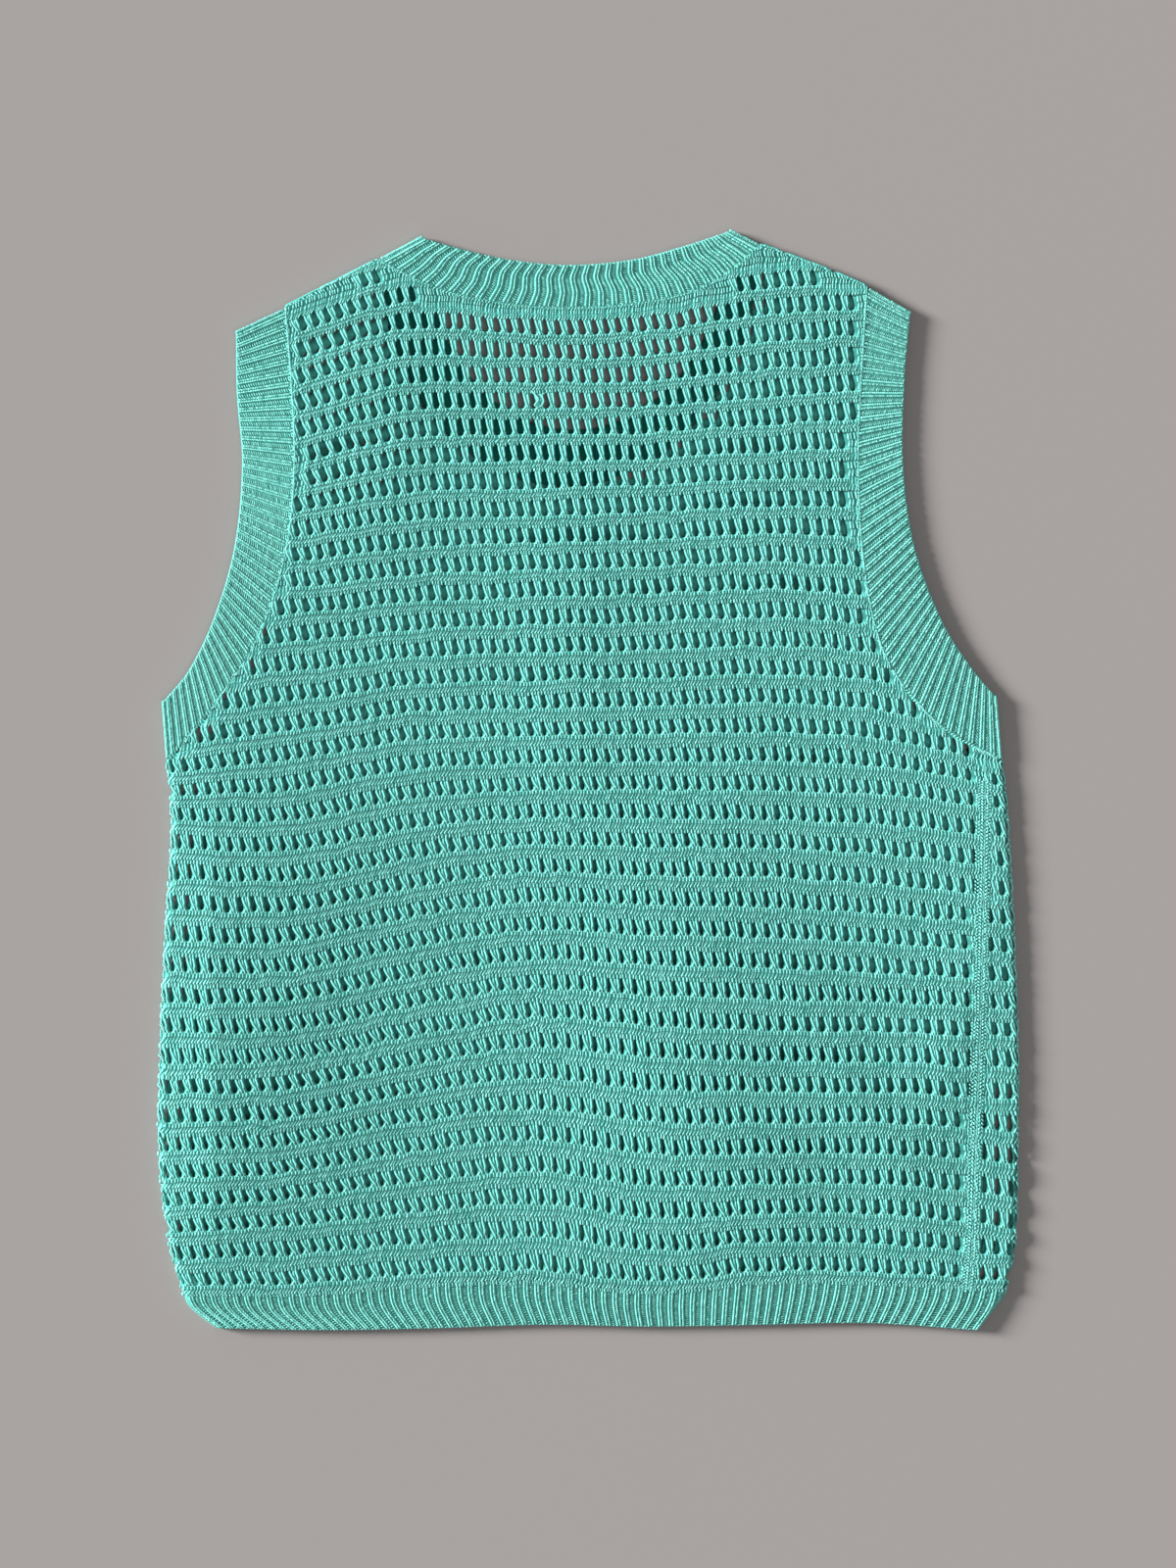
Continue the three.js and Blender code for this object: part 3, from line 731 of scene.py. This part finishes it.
def laid_legs(start, end, outs, wide, high):
    """Short loops of yarn from start to end, with their painted light: a painted highlight on the ridge,
    painted shade at the tips, and a little random unevenness of tone.
    """
    uneven = rng.normal(0, 1, (3, len(start)))
    start = start + UNEVEN_HEIGHT * uneven[0][:, None] * outs
    end = end + UNEVEN_HEIGHT * uneven[1][:, None] * outs
    run = end - start
    long_enough = np.linalg.norm(run, axis=-1) > SHORTEST
    start, end, outs, run = start[long_enough], end[long_enough], outs[long_enough], run[long_enough]
    side = np.cross(run, outs)
    side /= np.maximum(np.linalg.norm(side, axis=-1, keepdims=True), 1e-9)
    middle = (start + end) / 2
    x, y, z = leg_corners.T
    points = (
        middle[:, None]
        + run[:, None] * z[None, :, None]
        + side[:, None] * (x * wide / 2)[None, :, None]
        + outs[:, None] * (y * high / 2)[None, :, None]
    )
    # Painted light: lighter towards the ridge and darker at the tips; the random factor below is real
    # unevenness of the yarn.
    painted_light_and_tone = 0.76 + 0.26 * y - 0.15 * (np.abs(z) > 0.4)
    painted_light_and_tone = painted_light_and_tone[None, :] * (1 + UNEVEN_TONE * uneven[2][long_enough][:, None])
    faces = repeated(leg_corners, leg_faces, len(start))
    return points.reshape(-1, 3), faces, np.clip(painted_light_and_tone, 0, 1.1).ravel()


def stroke_row(count, shift, low_v, high_v, slant, wide, tall, depth):
    """Even strokes across a cell."""
    places = [(k + shift) / count for k in range(count)]
    return [((u - slant, low_v), (u + slant, high_v), wide, tall, depth) for u in places]


# Each row: how many strokes, their shift, lower and upper v, slant, width, height and depth.
LOWER_STROKES = stroke_row(4, 0.55, -0.27, -0.06, -0.06, 1.7, 1.7, 2.2)
MIDDLE_STROKES = stroke_row(4, 0.3, -0.13, 0.09, 0.09, 1.7, 1.8, 2.4)
UPPER_STROKES = [
    *stroke_row(4, 0.6, 0.04, 0.22, -0.05, 1.6, 1.6, 2.2),
    ((-0.28, 0.14), (-0.09, 0.38), 1.5, 1.2, 1.95),
    ((0.32, 0.14), (0.14, 0.38), 1.5, 1.2, 1.95),
]
CLOSED_STROKES = [
    *stroke_row(4, 0.5, -0.28, 0.04, 0.04, 1.5, 1.5, 2.2),
    *stroke_row(4, 0.3, -0.02, 0.28, -0.05, 1.5, 1.4, 2.0),
    *stroke_row(4, 0.5, 0.22, 0.52, 0.04, 1.5, 1.4, 2.0),
    *stroke_row(4, 0.3, 0.46, 0.78, -0.05, 1.5, 1.4, 2.0),
]


def worked_loops(lay, strokes):
    """One group of loops for each stroke. lay turns a stroke's end into a function of depth."""
    parts = []
    for low, high, wide, tall, depth in strokes:
        start, out = facing(lay(*low), depth)
        end, _ = facing(lay(*high), depth)
        parts.append(laid_legs(start, end, out, wide, tall))
    return parts


open_back, closed_back = split_cells(BACK)
back_yarn = [net_strands("back_strands", BACK, open_back)]
for name, cells, strokes in (
    ("back_lower_loops", open_back, LOWER_STROKES),
    ("back_middle_loops", open_back, MIDDLE_STROKES),
    ("back_upper_loops", open_back, UPPER_STROKES),
    ("back_close_loops", closed_back, CLOSED_STROKES),
):
    back_yarn.append(joined(name, worked_loops(on_net(BACK, cells), strokes)))
for piece in back_yarn:
    finish_piece(piece, panel_yarn)


# The front panel: the same knitting. It comes round the right fold to the side seam, and under the
# back it has its own deep scoop for the neck. Through the eyelets its loops show, painted darker as
# painted shade, for they lie in the shade of the back.
UNDER_END = TURNED_UNDER + SEAM_GAP
SCOOP_SEAM_DEPTH = 132.0


def hung_scoop(back_line, depth):
    """One line of the hidden front half of the neckband: a half ellipse between its two ends."""
    start, end = np.array(back_line[0]), np.array(back_line[-1])
    angle = np.linspace(0, math.pi, LINE_STEPS)
    part = (1 - np.cos(angle)) / 2
    line = start[:, None] + (end - start)[:, None] * part
    line[1] -= depth * np.sin(angle)
    return evened(line)


scoop_seam = hung_scoop(BACK_NECK, SCOOP_SEAM_DEPTH)
front_line = np.hstack([np.array(LEFT_SHOULDER).T, scoop_seam, np.array(RIGHT_SHOULDER).T])


def front_limit(x):
    """The front panel's upper limit along Y, from the shoulders and the scoop."""
    return np.interp(x, front_line[0], front_line[1])


def right_under(course):
    """Where the part of the front that comes over the fold ends, along the flat cloth."""
    return column_at("right", course) - ROLL + HALF_TURN + TURNED_UNDER


def past_seam(course):
    """The front's own side of the side seam."""
    return column_at("seam", course) + SEAM_GAP


# The front's courses lie half a course off the back's, apart from the places where the eyelets of
# both layers meet and the surface below shows through.
UNDER_WALE = 7.2
UNDER_COURSE = 16.8
MEETINGS = [
    # x, y, width, length
    (92, 199, 26, 12),
    (-151, 207, 18, 12),
    (-12, 144, 34, 7),
    (84, 152, 28, 12),
    (114, 109, 30, 6),
    (36, 113, 16, 6),
    (171, 65, 24, 6),
    (119, 4, 34, 6),
    (127, -31, 28, 6),
    (-65, -110, 20, 6),
    (152, -128, 26, 6),
    (112, -158, 26, 7),
    (167, -171, 18, 6),
    (106, -206, 22, 8),
    (35, -172, 18, 7),
]


def front_shift(wale, course):
    """How far a place of the lower layer lies off the back's courses."""
    x, y = wale * UNDER_WALE, EVEN_TOP - UNDER_COURSE * course
    near = sum(
        np.exp(-(((x - at_x) / wide) ** 2) - ((y - at_y) / long) ** 2)
        for at_x, at_y, wide, long in MEETINGS
    )
    return 0.5 * (1 - np.clip(near, 0, 1))


FRONT_OVER = {
    "wales": np.arange(26, 42),
    "low": past_seam,
    "high": right_under,
    "top": top_limit,
    "under": False,
    "margin": 1.2,
}
FRONT_UNDER = {
    "wales": np.arange(-38, 38),
    "low": lambda course: column_at("left", course) + ROLL + UNDER_END,
    "high": lambda course: column_at("right", course) - ROLL - TURNED_UNDER,
    "top": front_limit,
    "under": True,
    "shift": front_shift,
    "margin": 0.5,
}
# Painted shade: the lower layer's ground is painted darker than the top's, as it lies in the shade of
# the back.
UNDER_PAINTED_GROUND_SHADE = 0.12
front_net = knitted_net("front_net", FRONT_OVER, TOP_PAINTED_GROUND_SHADE)
front_net_under = knitted_net("front_net_under", FRONT_UNDER, UNDER_PAINTED_GROUND_SHADE)
for piece in (front_net, front_net_under):
    walled(piece)
    finish_piece(piece, panel_yarn)
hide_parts("front_panel")
open_front, closed_front = split_cells(FRONT_OVER)
front_strands = net_strands("front_strands", FRONT_OVER, open_front)
front_loops = joined(
    "front_loops",
    worked_loops(on_net(FRONT_OVER, open_front), LOWER_STROKES + MIDDLE_STROKES + UPPER_STROKES)
    + worked_loops(on_net(FRONT_OVER, closed_front), CLOSED_STROKES),
)
for piece in (front_strands, front_loops):
    finish_piece(piece, panel_yarn)


# The hem ribs: 1x1 rib of the same mint cotton, knitted onto each panel, a column of knit loops and
# a sunken column of purl loops for each rib. The back's goes from the side seam round the left fold,
# the front's the other way.
RIB_RISE = 0.55
RIB_FACE = 1.45
RIB_INNER = 0.1
RIB_CREST = 0.37
RIB_FACETS = 6
HEM_RIBS = 70
HEM_ROWS = 21
HEM_RINGS = 7
RIB_STROKES = [
    # rib part and row part of the lower end, of the upper end, width, height, depth
    ((0.25, -0.6), (0.18, 1.5), 1.65, 1.4, 2.25),
    ((0.45, -0.6), (0.52, 1.5), 1.65, 1.4, 2.25),
    ((0.62, 0.0), (1.08, 1.0), 1.3, 1.1, 1.85),
]
HEM_COURSES = (LAST_COURSE + 0.03, HEM_EDGE)

# The same yarn, painted a little duller in the dense ribs: a second copy with a dimmer painted highlight
# and softer painted shade, as the ribs show fewer of its lit crests.
rib_yarn = yarn_material("combed_cotton_rib", "#0d6055", "#67cdc0", "#9cf2e7")


def closed_shell(name, outer, inner, ring, outer_painted_light):
    """A closed wall between two grids of points, each with its columns and rows."""
    columns, rows = outer.shape[:2]
    number = np.arange(columns * rows).reshape(columns, rows)
    if ring:
        number = np.vstack([number, number[:1]])
    quads = np.stack([number[:-1, :-1], number[1:, :-1], number[1:, 1:], number[:-1, 1:]], axis=-1)
    quads = quads.reshape(-1, 4)
    inward = columns * rows
    faces = quads.tolist() + (quads[:, ::-1] + inward).tolist()
    rims = [(number[:, 0], True), (number[:, -1], False)]
    if not ring:
        rims += [(number[0], False), (number[-1], True)]
    for edge, turned in rims:
        rim = np.stack([edge[:-1], edge[:-1] + inward, edge[1:] + inward, edge[1:]], axis=-1)
        faces += (rim if turned else rim[:, ::-1]).tolist()
    points = np.concatenate([outer.reshape(-1, 3), inner.reshape(-1, 3)])
    # Painted light: the outer face as its relief gives, and the inner face painted as the deepest shade.
    painted_light_and_tone = np.concatenate([outer_painted_light.reshape(-1), np.zeros(columns * rows)])
    triangles = np.array([[face[0], face[k], face[k + 1]] for face in faces for k in (1, 2)])
    a, b, c = (points[triangles[:, k]] for k in range(3))
    if np.sum(a * np.cross(b, c)) < 0:
        faces = [face[::-1] for face in faces]
    return new_mesh(name, points, faces, painted_light_and_tone)


def rib_height(part):
    """The relief of one rib, from its part across."""
    return RIB_RISE * (0.5 + 0.5 * np.cos(2 * math.pi * (part - RIB_CREST)))


def rib_painted_light(relief):
    """The painted light of a rib's ground, from its relief: lighter on the raised knit columns, darker
    in the sunken purl ones.
    """
    return 0.4 + 0.2 * relief / RIB_RISE


def hem_x(rib, course):
    """Where a rib of the hem comes to lie on the flat cloth, with the seam at the last whole rib."""
    left = column_at("left", course) + ROLL
    seam = column_at("seam", course)
    return left + (seam - left) * rib / HEM_RIBS


def hem_shell(name, low_rib, high_rib, keep):
    """The knitted ground of a hem rib. keep holds it between the piece's own two ends."""
    ribs = np.arange(low_rib * RIB_FACETS, high_rib * RIB_FACETS + 1) / RIB_FACETS
    rows = np.linspace(*HEM_COURSES, HEM_RINGS)
    rib, course = np.meshgrid(ribs, rows, indexing="ij")
    flat_x = hem_x(rib, course)
    x = keep(flat_x, course)
    relief = np.where(flat_x == x, 1.0, 0.0) * rib_height(rib % 1.0)
    shape = (*rib.shape, 3)
    outer = cloth_points(x.ravel(), course.ravel(), (RIB_FACE + relief).ravel()).reshape(shape)
    inner = cloth_points(x.ravel(), course.ravel(), np.full(x.size, RIB_INNER)).reshape(shape)
    return closed_shell(name, outer, inner, False, rib_painted_light(relief))


def keep_back(x, course):
    """A place of the back's hem rib, kept between its two ends."""
    return np.clip(x, left_under(course), side_seam(course))


def keep_front(x, course):
    """A place of the front's hem rib, kept between its two ends."""
    left = column_at("left", course) + ROLL
    right = column_at("right", course) - ROLL
    under_end = right + HALF_TURN + (right - left - UNDER_END)
    return np.clip(x, past_seam(course), under_end)


def hem_stitches(name, ribs, keep):
    """The loops of a hem rib."""
    rib, row = np.meshgrid(ribs, np.arange(HEM_ROWS), indexing="ij")
    rib, row = rib.ravel(), row.ravel()
    span = (HEM_COURSES[1] - HEM_COURSES[0]) / HEM_ROWS

    def lay(part, step):
        course = np.clip(HEM_COURSES[1] - (row + step) * span, *HEM_COURSES)
        x = keep(hem_x(rib + part, course), course)
        return lambda depth: cloth_points(x, course, depth)

    return joined(name, worked_loops(lay, RIB_STROKES))


hem_back = hem_shell("hem_back", -8, HEM_RIBS, keep_back)
finish_piece(hem_back, rib_yarn)
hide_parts("hem_rib_back")
hem_back_stitches = hem_stitches("hem_back_stitches", np.arange(-3, HEM_RIBS), keep_back)
finish_piece(hem_back_stitches, rib_yarn)
hem_front = hem_shell("hem_front", HEM_RIBS, 2 * HEM_RIBS + 6, keep_front)
finish_piece(hem_front, rib_yarn)
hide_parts("hem_rib_front")
hem_front_stitches = hem_stitches("hem_front_stitches", np.arange(HEM_RIBS, HEM_RIBS + 7), keep_front)
finish_piece(hem_front_stitches, rib_yarn)


# The armbands: each a ring of 1x1 rib knitted on round its armhole and pressed flat, so that its
# front half lies under its back half. The ribs run out from the seam to the bound-off edge.
LEFT_EDGE = [
    (-201, 254), (-200.5, 220), (-197.5, 180), (-202, 132), (-214, 91), (-228, 62), (-242, 45),
]
RIGHT_EDGE = [
    (183.5, 265), (180.5, 232), (179.5, 180), (186, 133), (202, 90), (219, 63), (231.5, 48),
]
ARMHOLE_RIBS = 42
ARMHOLE_ROWS = 23
BAND_UPPER = 0.45
BAND_RINGS = 13
LOWER_FACETS = 90


def band_of(upper_seam, upper_edge, lower_seam, lower_edge, away_start, away_end):
    """The lines of a flattened ring, seen from above, and the ways out of its two folds."""
    return {
        "seam": (upper_seam, lower_seam),
        "edge": (upper_edge, lower_edge),
        "away": (np.array(away_start), np.array(away_end)),
    }


def way_out(seam, edge, end):
    """The way out of a ring's fold, square to the fold line and away from the band."""
    place = 0 if end == 0 else -1
    line = edge[:, place] - seam[:, place]
    away = np.array([-line[1], line[0]]) / np.hypot(*line)
    inside = seam[:, 24 if end == 0 else -25] - seam[:, place]
    return -away if away @ inside > 0 else away


def line_at(line, part):
    """Points of an evenly stepped line at parts of its length."""
    steps = np.linspace(0, 1, line.shape[1])
    return np.array([np.interp(part, steps, line[axis]) for axis in (0, 1)])


def band_points(band, place, across, depth):
    """Points of a band from their places round the ring and across it, each from 0 to 1."""
    place = place % 1.0
    upper = place < BAND_UPPER
    far = (place >= BAND_UPPER) & (place < 0.5)
    lower = (place >= 0.5) & (place < 0.5 + BAND_UPPER)
    near = place >= 0.5 + BAND_UPPER
    roll = 0.5 - BAND_UPPER
    along = np.where(upper, place / BAND_UPPER, 0.0)
    along = np.where(far, 1.0, along)
    along = np.where(lower, 1 - (place - 0.5) / BAND_UPPER, along)
    turn = np.where(far, (place - BAND_UPPER) / roll, 0.0)
    turn = np.where(lower, 1.0, turn)
    turn = math.pi * np.where(near, 1 - (place - 0.5 - BAND_UPPER) / roll, turn)
    lines = []
    for side in ("seam", "edge"):
        pair = [line_at(band[side][half], along) for half in (0, 1)]
        lines.append(np.where(lower, pair[1], pair[0]))
    seam, edge = lines
    inset = SEAM_GAP / np.maximum(np.hypot(*(edge - seam)), 1)
    plan = seam + (edge - seam) * (inset + (1 - inset) * across)
    away = np.where(near, band["away"][0][:, None], band["away"][1][:, None])
    radius = INNER_RADIUS + depth
    rise = np.where(turn > 0, 0, lift(*plan))
    places = [*(plan + away * radius * np.sin(turn)), ROLL + radius * np.cos(turn) + rise]
    return np.array(np.broadcast_arrays(*places)).T


def band_shell(name, band, ribs, rack):
    """The knitted ground of a band."""
    upper = np.arange(ribs * RIB_FACETS) / (ribs * RIB_FACETS) * BAND_UPPER
    roll = np.arange(RIB_FACETS) / RIB_FACETS * (0.5 - BAND_UPPER)
    lower = 0.5 + np.arange(LOWER_FACETS) / LOWER_FACETS * BAND_UPPER
    places = np.concatenate([upper, BAND_UPPER + roll, lower, 0.5 + BAND_UPPER + roll])
    place, across = np.meshgrid(places, np.linspace(0, 1, BAND_RINGS), indexing="ij")
    shape = (*place.shape, 3)
    showing = place < BAND_UPPER
    moved = np.where(showing, rack(place, across), place)
    relief = np.where(showing, rib_height(place / BAND_UPPER * ribs), 0.0)
    outer = band_points(band, moved.ravel(), across.ravel(), (RIB_FACE + relief).ravel()).reshape(shape)
    inner_depth = np.full(place.size, RIB_INNER)
    inner = band_points(band, place.ravel(), across.ravel(), inner_depth).reshape(shape)
    return closed_shell(name, outer, inner, True, rib_painted_light(relief))


def straight(place, across):
    """The place of a rib that runs straight across its band."""
    return place


def band_stitches(name, band, ribs, rows, rack):
    """The loops of a band on its upper half, and on the first rib of each fold."""
    rib, row = np.meshgrid(np.arange(-1, ribs + 1), np.arange(rows), indexing="ij")
    rib, row = rib.ravel(), row.ravel()

    def lay(part, step):
        across = np.clip(1 - (row + step) / rows, 0, 1)
        place = rack((rib + part) / ribs * BAND_UPPER, across)
        return lambda depth: band_points(band, place, across, depth)

    return joined(name, worked_loops(lay, RIB_STROKES))


left_edge = curve_through(LEFT_EDGE)
right_edge = curve_through(RIGHT_EDGE)
for side, seam, edge, pitward in (
    ("left", left_seam, left_edge, (-1.0, 0.0)),
    ("right", right_seam, right_edge, (1.0, 0.0)),
):
    armhole = band_of(seam, edge, seam, edge, way_out(seam, edge, 0), pitward)
    armband = band_shell(f"{side}_armband", armhole, ARMHOLE_RIBS, straight)
    finish_piece(armband, rib_yarn)
    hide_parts(f"armband_{side}")
    loops = band_stitches(f"{side}_armband_stitches", armhole, ARMHOLE_RIBS, ARMHOLE_ROWS, straight)
    finish_piece(loops, rib_yarn)


# The neckband: one ring of racked 1x1 rib, knitted on round the neck. Its ribs zigzag from the seam
# to the edge. Its back half shows, and its front half hangs in the scoop under the back.
NECK_EDGE = [
    (-93.5, 308.5), (-72, 302.5), (-45, 296.5), (-11.5, 293.5), (25, 296.5), (55.5, 304.5), (80, 312.5),
]
SCOOP_DEPTH = 111.0
NECK_RIBS = 29
NECK_ROWS = 20
RACKING = np.array([(0, 1.0), (0.35, 1.6), (0.7, -1.6), (1, 1.2)])
UNRACKED_ENDS = 6
LAST_PLACE = 0.9999 * BAND_UPPER
neck_edge = curve_through(NECK_EDGE)


def line_length(line):
    """How long a line is, seen from above."""
    return np.hypot(*np.diff(line, axis=1)).sum()


neck_length = line_length(neck_seam)


def racked(place, across):
    """The place round the neckband, shifted as the racked ribs are, less towards its two ends."""
    upper = (place >= 0) & (place < BAND_UPPER)
    shift = np.interp(across, RACKING[:, 0], RACKING[:, 1])
    part = np.clip(place / BAND_UPPER, 0, 1)
    ends = np.clip(UNRACKED_ENDS * np.minimum(part, 1 - part), 0, 1)
    moved = np.clip(place + BAND_UPPER * shift * ends / neck_length, 0, LAST_PLACE)
    return np.where(upper, moved, place)


neck = band_of(
    neck_seam,
    neck_edge,
    scoop_seam,
    hung_scoop(NECK_EDGE, SCOOP_DEPTH),
    way_out(neck_seam, neck_edge, 0),
    way_out(neck_seam, neck_edge, 1),
)
neckband = band_shell("neckband_ring", neck, NECK_RIBS, racked)
finish_piece(neckband, rib_yarn)
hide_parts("neckband")
neck_stitches = band_stitches("neckband_stitches", neck, NECK_RIBS, NECK_ROWS, racked)
finish_piece(neck_stitches, rib_yarn)


# The seams and edges: the bands are joined to the panels by a line of overcast loops, the shoulders
# are whipped together, and the free edges are bound off in a chain. All of the same mint yarn.
TANGENT_STEP = 0.004
TOP_FACE = 2 * WALL + LAYER_GAP


def edge_row(line, start_at, end_at, pitch, slant, wide, tall):
    """Loops along a line seen from above. Each end states how far it lies to the left of the line,
    and its height."""
    length = line_length(line)
    part = (np.arange(int(length / pitch)) + 0.5) * pitch / length
    ends = []
    for (aside, height), moved in ((start_at, 0.0), (end_at, slant / length)):
        place = line_at(line, np.clip(part + moved, 0, 1))
        ahead = line_at(line, np.clip(part + moved + TANGENT_STEP, 0, 1))
        behind = line_at(line, np.clip(part + moved - TANGENT_STEP, 0, 1))
        run = (ahead - behind) / np.maximum(np.hypot(*(ahead - behind)), 1e-6)
        plan = place + np.array([-run[1], run[0]]) * aside
        ends.append(np.array([*plan, height + lift(*plan) * (height > ROLL)]).T)
    start, end = ends
    tangent = np.array([*run, np.zeros_like(run[0])]).T
    outs = np.cross(tangent, end - start)
    flat_run = np.linalg.norm(outs, axis=1) < 0.3
    outs[flat_run] = (0, 0, 1)
    outs /= np.linalg.norm(outs, axis=1, keepdims=True)
    upward = 2.0 if max(start_at[1], end_at[1]) > ROLL else -2.0
    outward = np.array([-run[1], run[0], np.full_like(run[0], upward)])
    outs *= np.sign(np.sum(outs * outward.T, axis=1, keepdims=True))
    return laid_legs(start, end, outs, wide, tall)


EDGE_STEPS = 300
hem_across = np.linspace(0, 1, EDGE_STEPS)
hem_end = np.full(EDGE_STEPS, float(HEM_EDGE))
hem_left = column_at("left", hem_end) + ROLL
hem_right = column_at("right", hem_end) - ROLL
hem_line = hem_left + (hem_right - hem_left) * hem_across
hem_line = np.array([hem_line, course_height(hem_end, hem_across)])

# Each row: where a loop starts and ends, the pitch, the slant, and the loop's width and height.
OVERCAST = [
    ((-1.5, TOP_FACE), (1.5, TOP_FACE), 1.9, 1.3, 1.3, 1.5),
    ((0.0, TOP_FACE - 0.9), (0.0, TOP_FACE - 0.9), 2.2, 3.0, 2.0, 1.6),
]
WHIPPED = [
    ((-2.2, TOP_FACE - 0.4), (0.3, ROLL), 1.9, 0.8, 1.7, 1.5),
    ((0.3, ROLL), (-2.2, 0.7), 1.9, 0.8, 1.7, 1.2),
]


def bound_off(aside):
    """The two chains of a bound-off edge, one on each layer."""
    return [
        ((aside, TOP_FACE - 0.7), (aside, TOP_FACE - 0.7), 2.0, 2.6, 1.5, 1.5),
        ((aside, 0.9), (aside, 0.9), 2.0, 2.6, 1.5, 1.3),
    ]


worked_edges = [(line, OVERCAST) for line in (left_seam, right_seam, neck_seam)]
worked_edges += [(np.array(line).T, WHIPPED) for line in (LEFT_SHOULDER, RIGHT_SHOULDER)]
worked_edges += [
    (line, bound_off(aside))
    for line, aside in ((left_edge, 0.5), (right_edge, -0.5), (neck_edge, -0.5), (hem_line, 0.5))
]
seam_loops = joined("seam_loops", [edge_row(line, *row) for line, rows in worked_edges for row in rows])
finish_piece(seam_loops, rib_yarn)


# The side seam: the back and the front are sewn together with the same mint yarn near the right
# fold, from the pit to the hem, which draws them into a puckered, dense line of loops.
SIDE_SEAM_COURSES = (17.6, LAST_COURSE + 0.4)
seam_course = np.linspace(*SIDE_SEAM_COURSES, EDGE_STEPS)
seam_x = column_at("seam", seam_course)
seam_left = column_at("left", seam_course) + ROLL
seam_right = column_at("right", seam_course) - ROLL
seam_across = (seam_x - seam_left) / (seam_right - seam_left)
side_line = np.array([seam_x, course_height(seam_course, seam_across)])
PUCKER_PITCH = 2.0
PUCKER_HEIGHT = 1.5
PUCKERS = [
    # start and end to the right of the seam, height, slant, width
    (-5.2, -3.6, 4.4, 1.2, 1.5),
    (-3.6, -2.2, 4.7, -1.4, 1.5),
    (-2.2, -0.3, 4.9, 1.6, 1.6),
    (0.9, 2.4, 4.9, -1.5, 1.6),
    (2.4, 4.0, 4.6, 1.3, 1.5),
]
side_rows = [
    edge_row(side_line, (low, height), (high, height), PUCKER_PITCH, slant, wide, PUCKER_HEIGHT)
    for low, high, height, slant, wide in PUCKERS
]
side_loops = joined("side_seam_loops", side_rows)
finish_piece(side_loops, panel_yarn)


# Two flaws of the real vest: a loose curl of yarn in the yoke and a pulled loop low on the left.
# Both are yarn of the net that has been drawn out of it, and stand a little proud.
CURL = [
    (-33, 222, 4.6), (-30.5, 219.5, 5.6), (-28.5, 216.5, 6.2), (-30.5, 213.5, 5.8),
    (-27.5, 212.6, 5.2), (-25.6, 215.5, 6.2), (-26.4, 219.0, 5.6), (-24.5, 221.0, 4.4),
]
PULLED = [
    (-197.5, -268.5, 4.2), (-198.0, -273.0, 5.6), (-195.5, -276.6, 6.0),
    (-191.8, -276.2, 6.0), (-189.6, -272.6, 5.6), (-191.0, -269.2, 4.2),
]
NEARLY_UP = np.array([0.15, 0.1, 1.0]) / 1.02


def loose_yarn(name, points, radius):
    """A loose loop of yarn through a few points."""
    points = np.array(points, float)
    steps = np.linspace(0, 1, len(points))
    fine = np.linspace(0, 1, 6 * len(points))
    path = np.array([smooth_through(steps, points[:, axis], fine) for axis in range(3)]).T[None]
    outs = np.tile(NEARLY_UP, (1, path.shape[1], 1))
    return joined(name, [laid_strands(path, outs, radius, radius)])


for name, points, radius in (("loose_curl", CURL, 0.55), ("pulled_loop", PULLED, 0.6)):
    finish_piece(loose_yarn(name, points, radius), panel_yarn)


# The floor and the light: a plain pale painted board, a distant soft light low on the left, which
# brings out the folds and the loops, and a weak wide one from above, as in a studio.
FLOOR_SIZE = 6
FLOOR_DROP = 0.0003
bpy.ops.object.select_all(action="DESELECT")
bpy.ops.mesh.primitive_plane_add(size=FLOOR_SIZE, location=(0, 0, -FLOOR_DROP))
floor = bpy.context.object
floor.name = "floor"
floor_material = bpy.data.materials.new("painted_board")
floor_material.use_nodes = True
board = floor_material.node_tree.nodes["Principled BSDF"]
board.inputs["Base Color"].default_value = linear("#a09a98")
board.inputs["Roughness"].default_value = 0.9
floor.data.materials.append(floor_material)


def soft_light(name, place, angle, strength):
    """A distant soft light that shines from a place to the middle of the vest."""
    light = bpy.data.lights.new(name, "SUN")
    light.angle = math.radians(angle)
    light.energy = strength
    lamp = bpy.data.objects.new(name, light)
    lamp.location = place
    lamp.rotation_euler = (-Vector(place)).to_track_quat("-Z", "Y").to_euler()
    bpy.context.collection.objects.link(lamp)


soft_light("key_left", (-5.4, 1.4, 1.9), 16, 6.8)
soft_light("fill_above", (0.7, -0.8, 2.4), 30, 0.55)

world = bpy.data.worlds.new("studio")
world.use_nodes = True
world.node_tree.nodes["Background"].inputs["Color"].default_value = linear("#e6e8ea")
world.node_tree.nodes["Background"].inputs["Strength"].default_value = 0.28
bpy.context.scene.world = world

# The camera looks straight down, framed as the photograph is.
PHOTO = (1200, 1600)
OUTLINE_MIDDLE = (600.5, 795.5)
MM_A_PIXEL = 0.56
CAMERA_HEIGHT = 2.24
SENSOR = 36.0
camera_data = bpy.data.cameras.new("camera")
camera = bpy.data.objects.new("camera", camera_data)
bpy.context.collection.objects.link(camera)
camera.location = (
    (PHOTO[0] / 2 - OUTLINE_MIDDLE[0]) * MM_A_PIXEL * MM,
    (OUTLINE_MIDDLE[1] - PHOTO[1] / 2) * MM_A_PIXEL * MM,
    CAMERA_HEIGHT,
)
camera_data.sensor_width = SENSOR
camera_data.lens = SENSOR * CAMERA_HEIGHT / (PHOTO[1] * MM_A_PIXEL * MM)
bpy.context.scene.camera = camera
bpy.context.scene.view_settings.view_transform = "Standard"
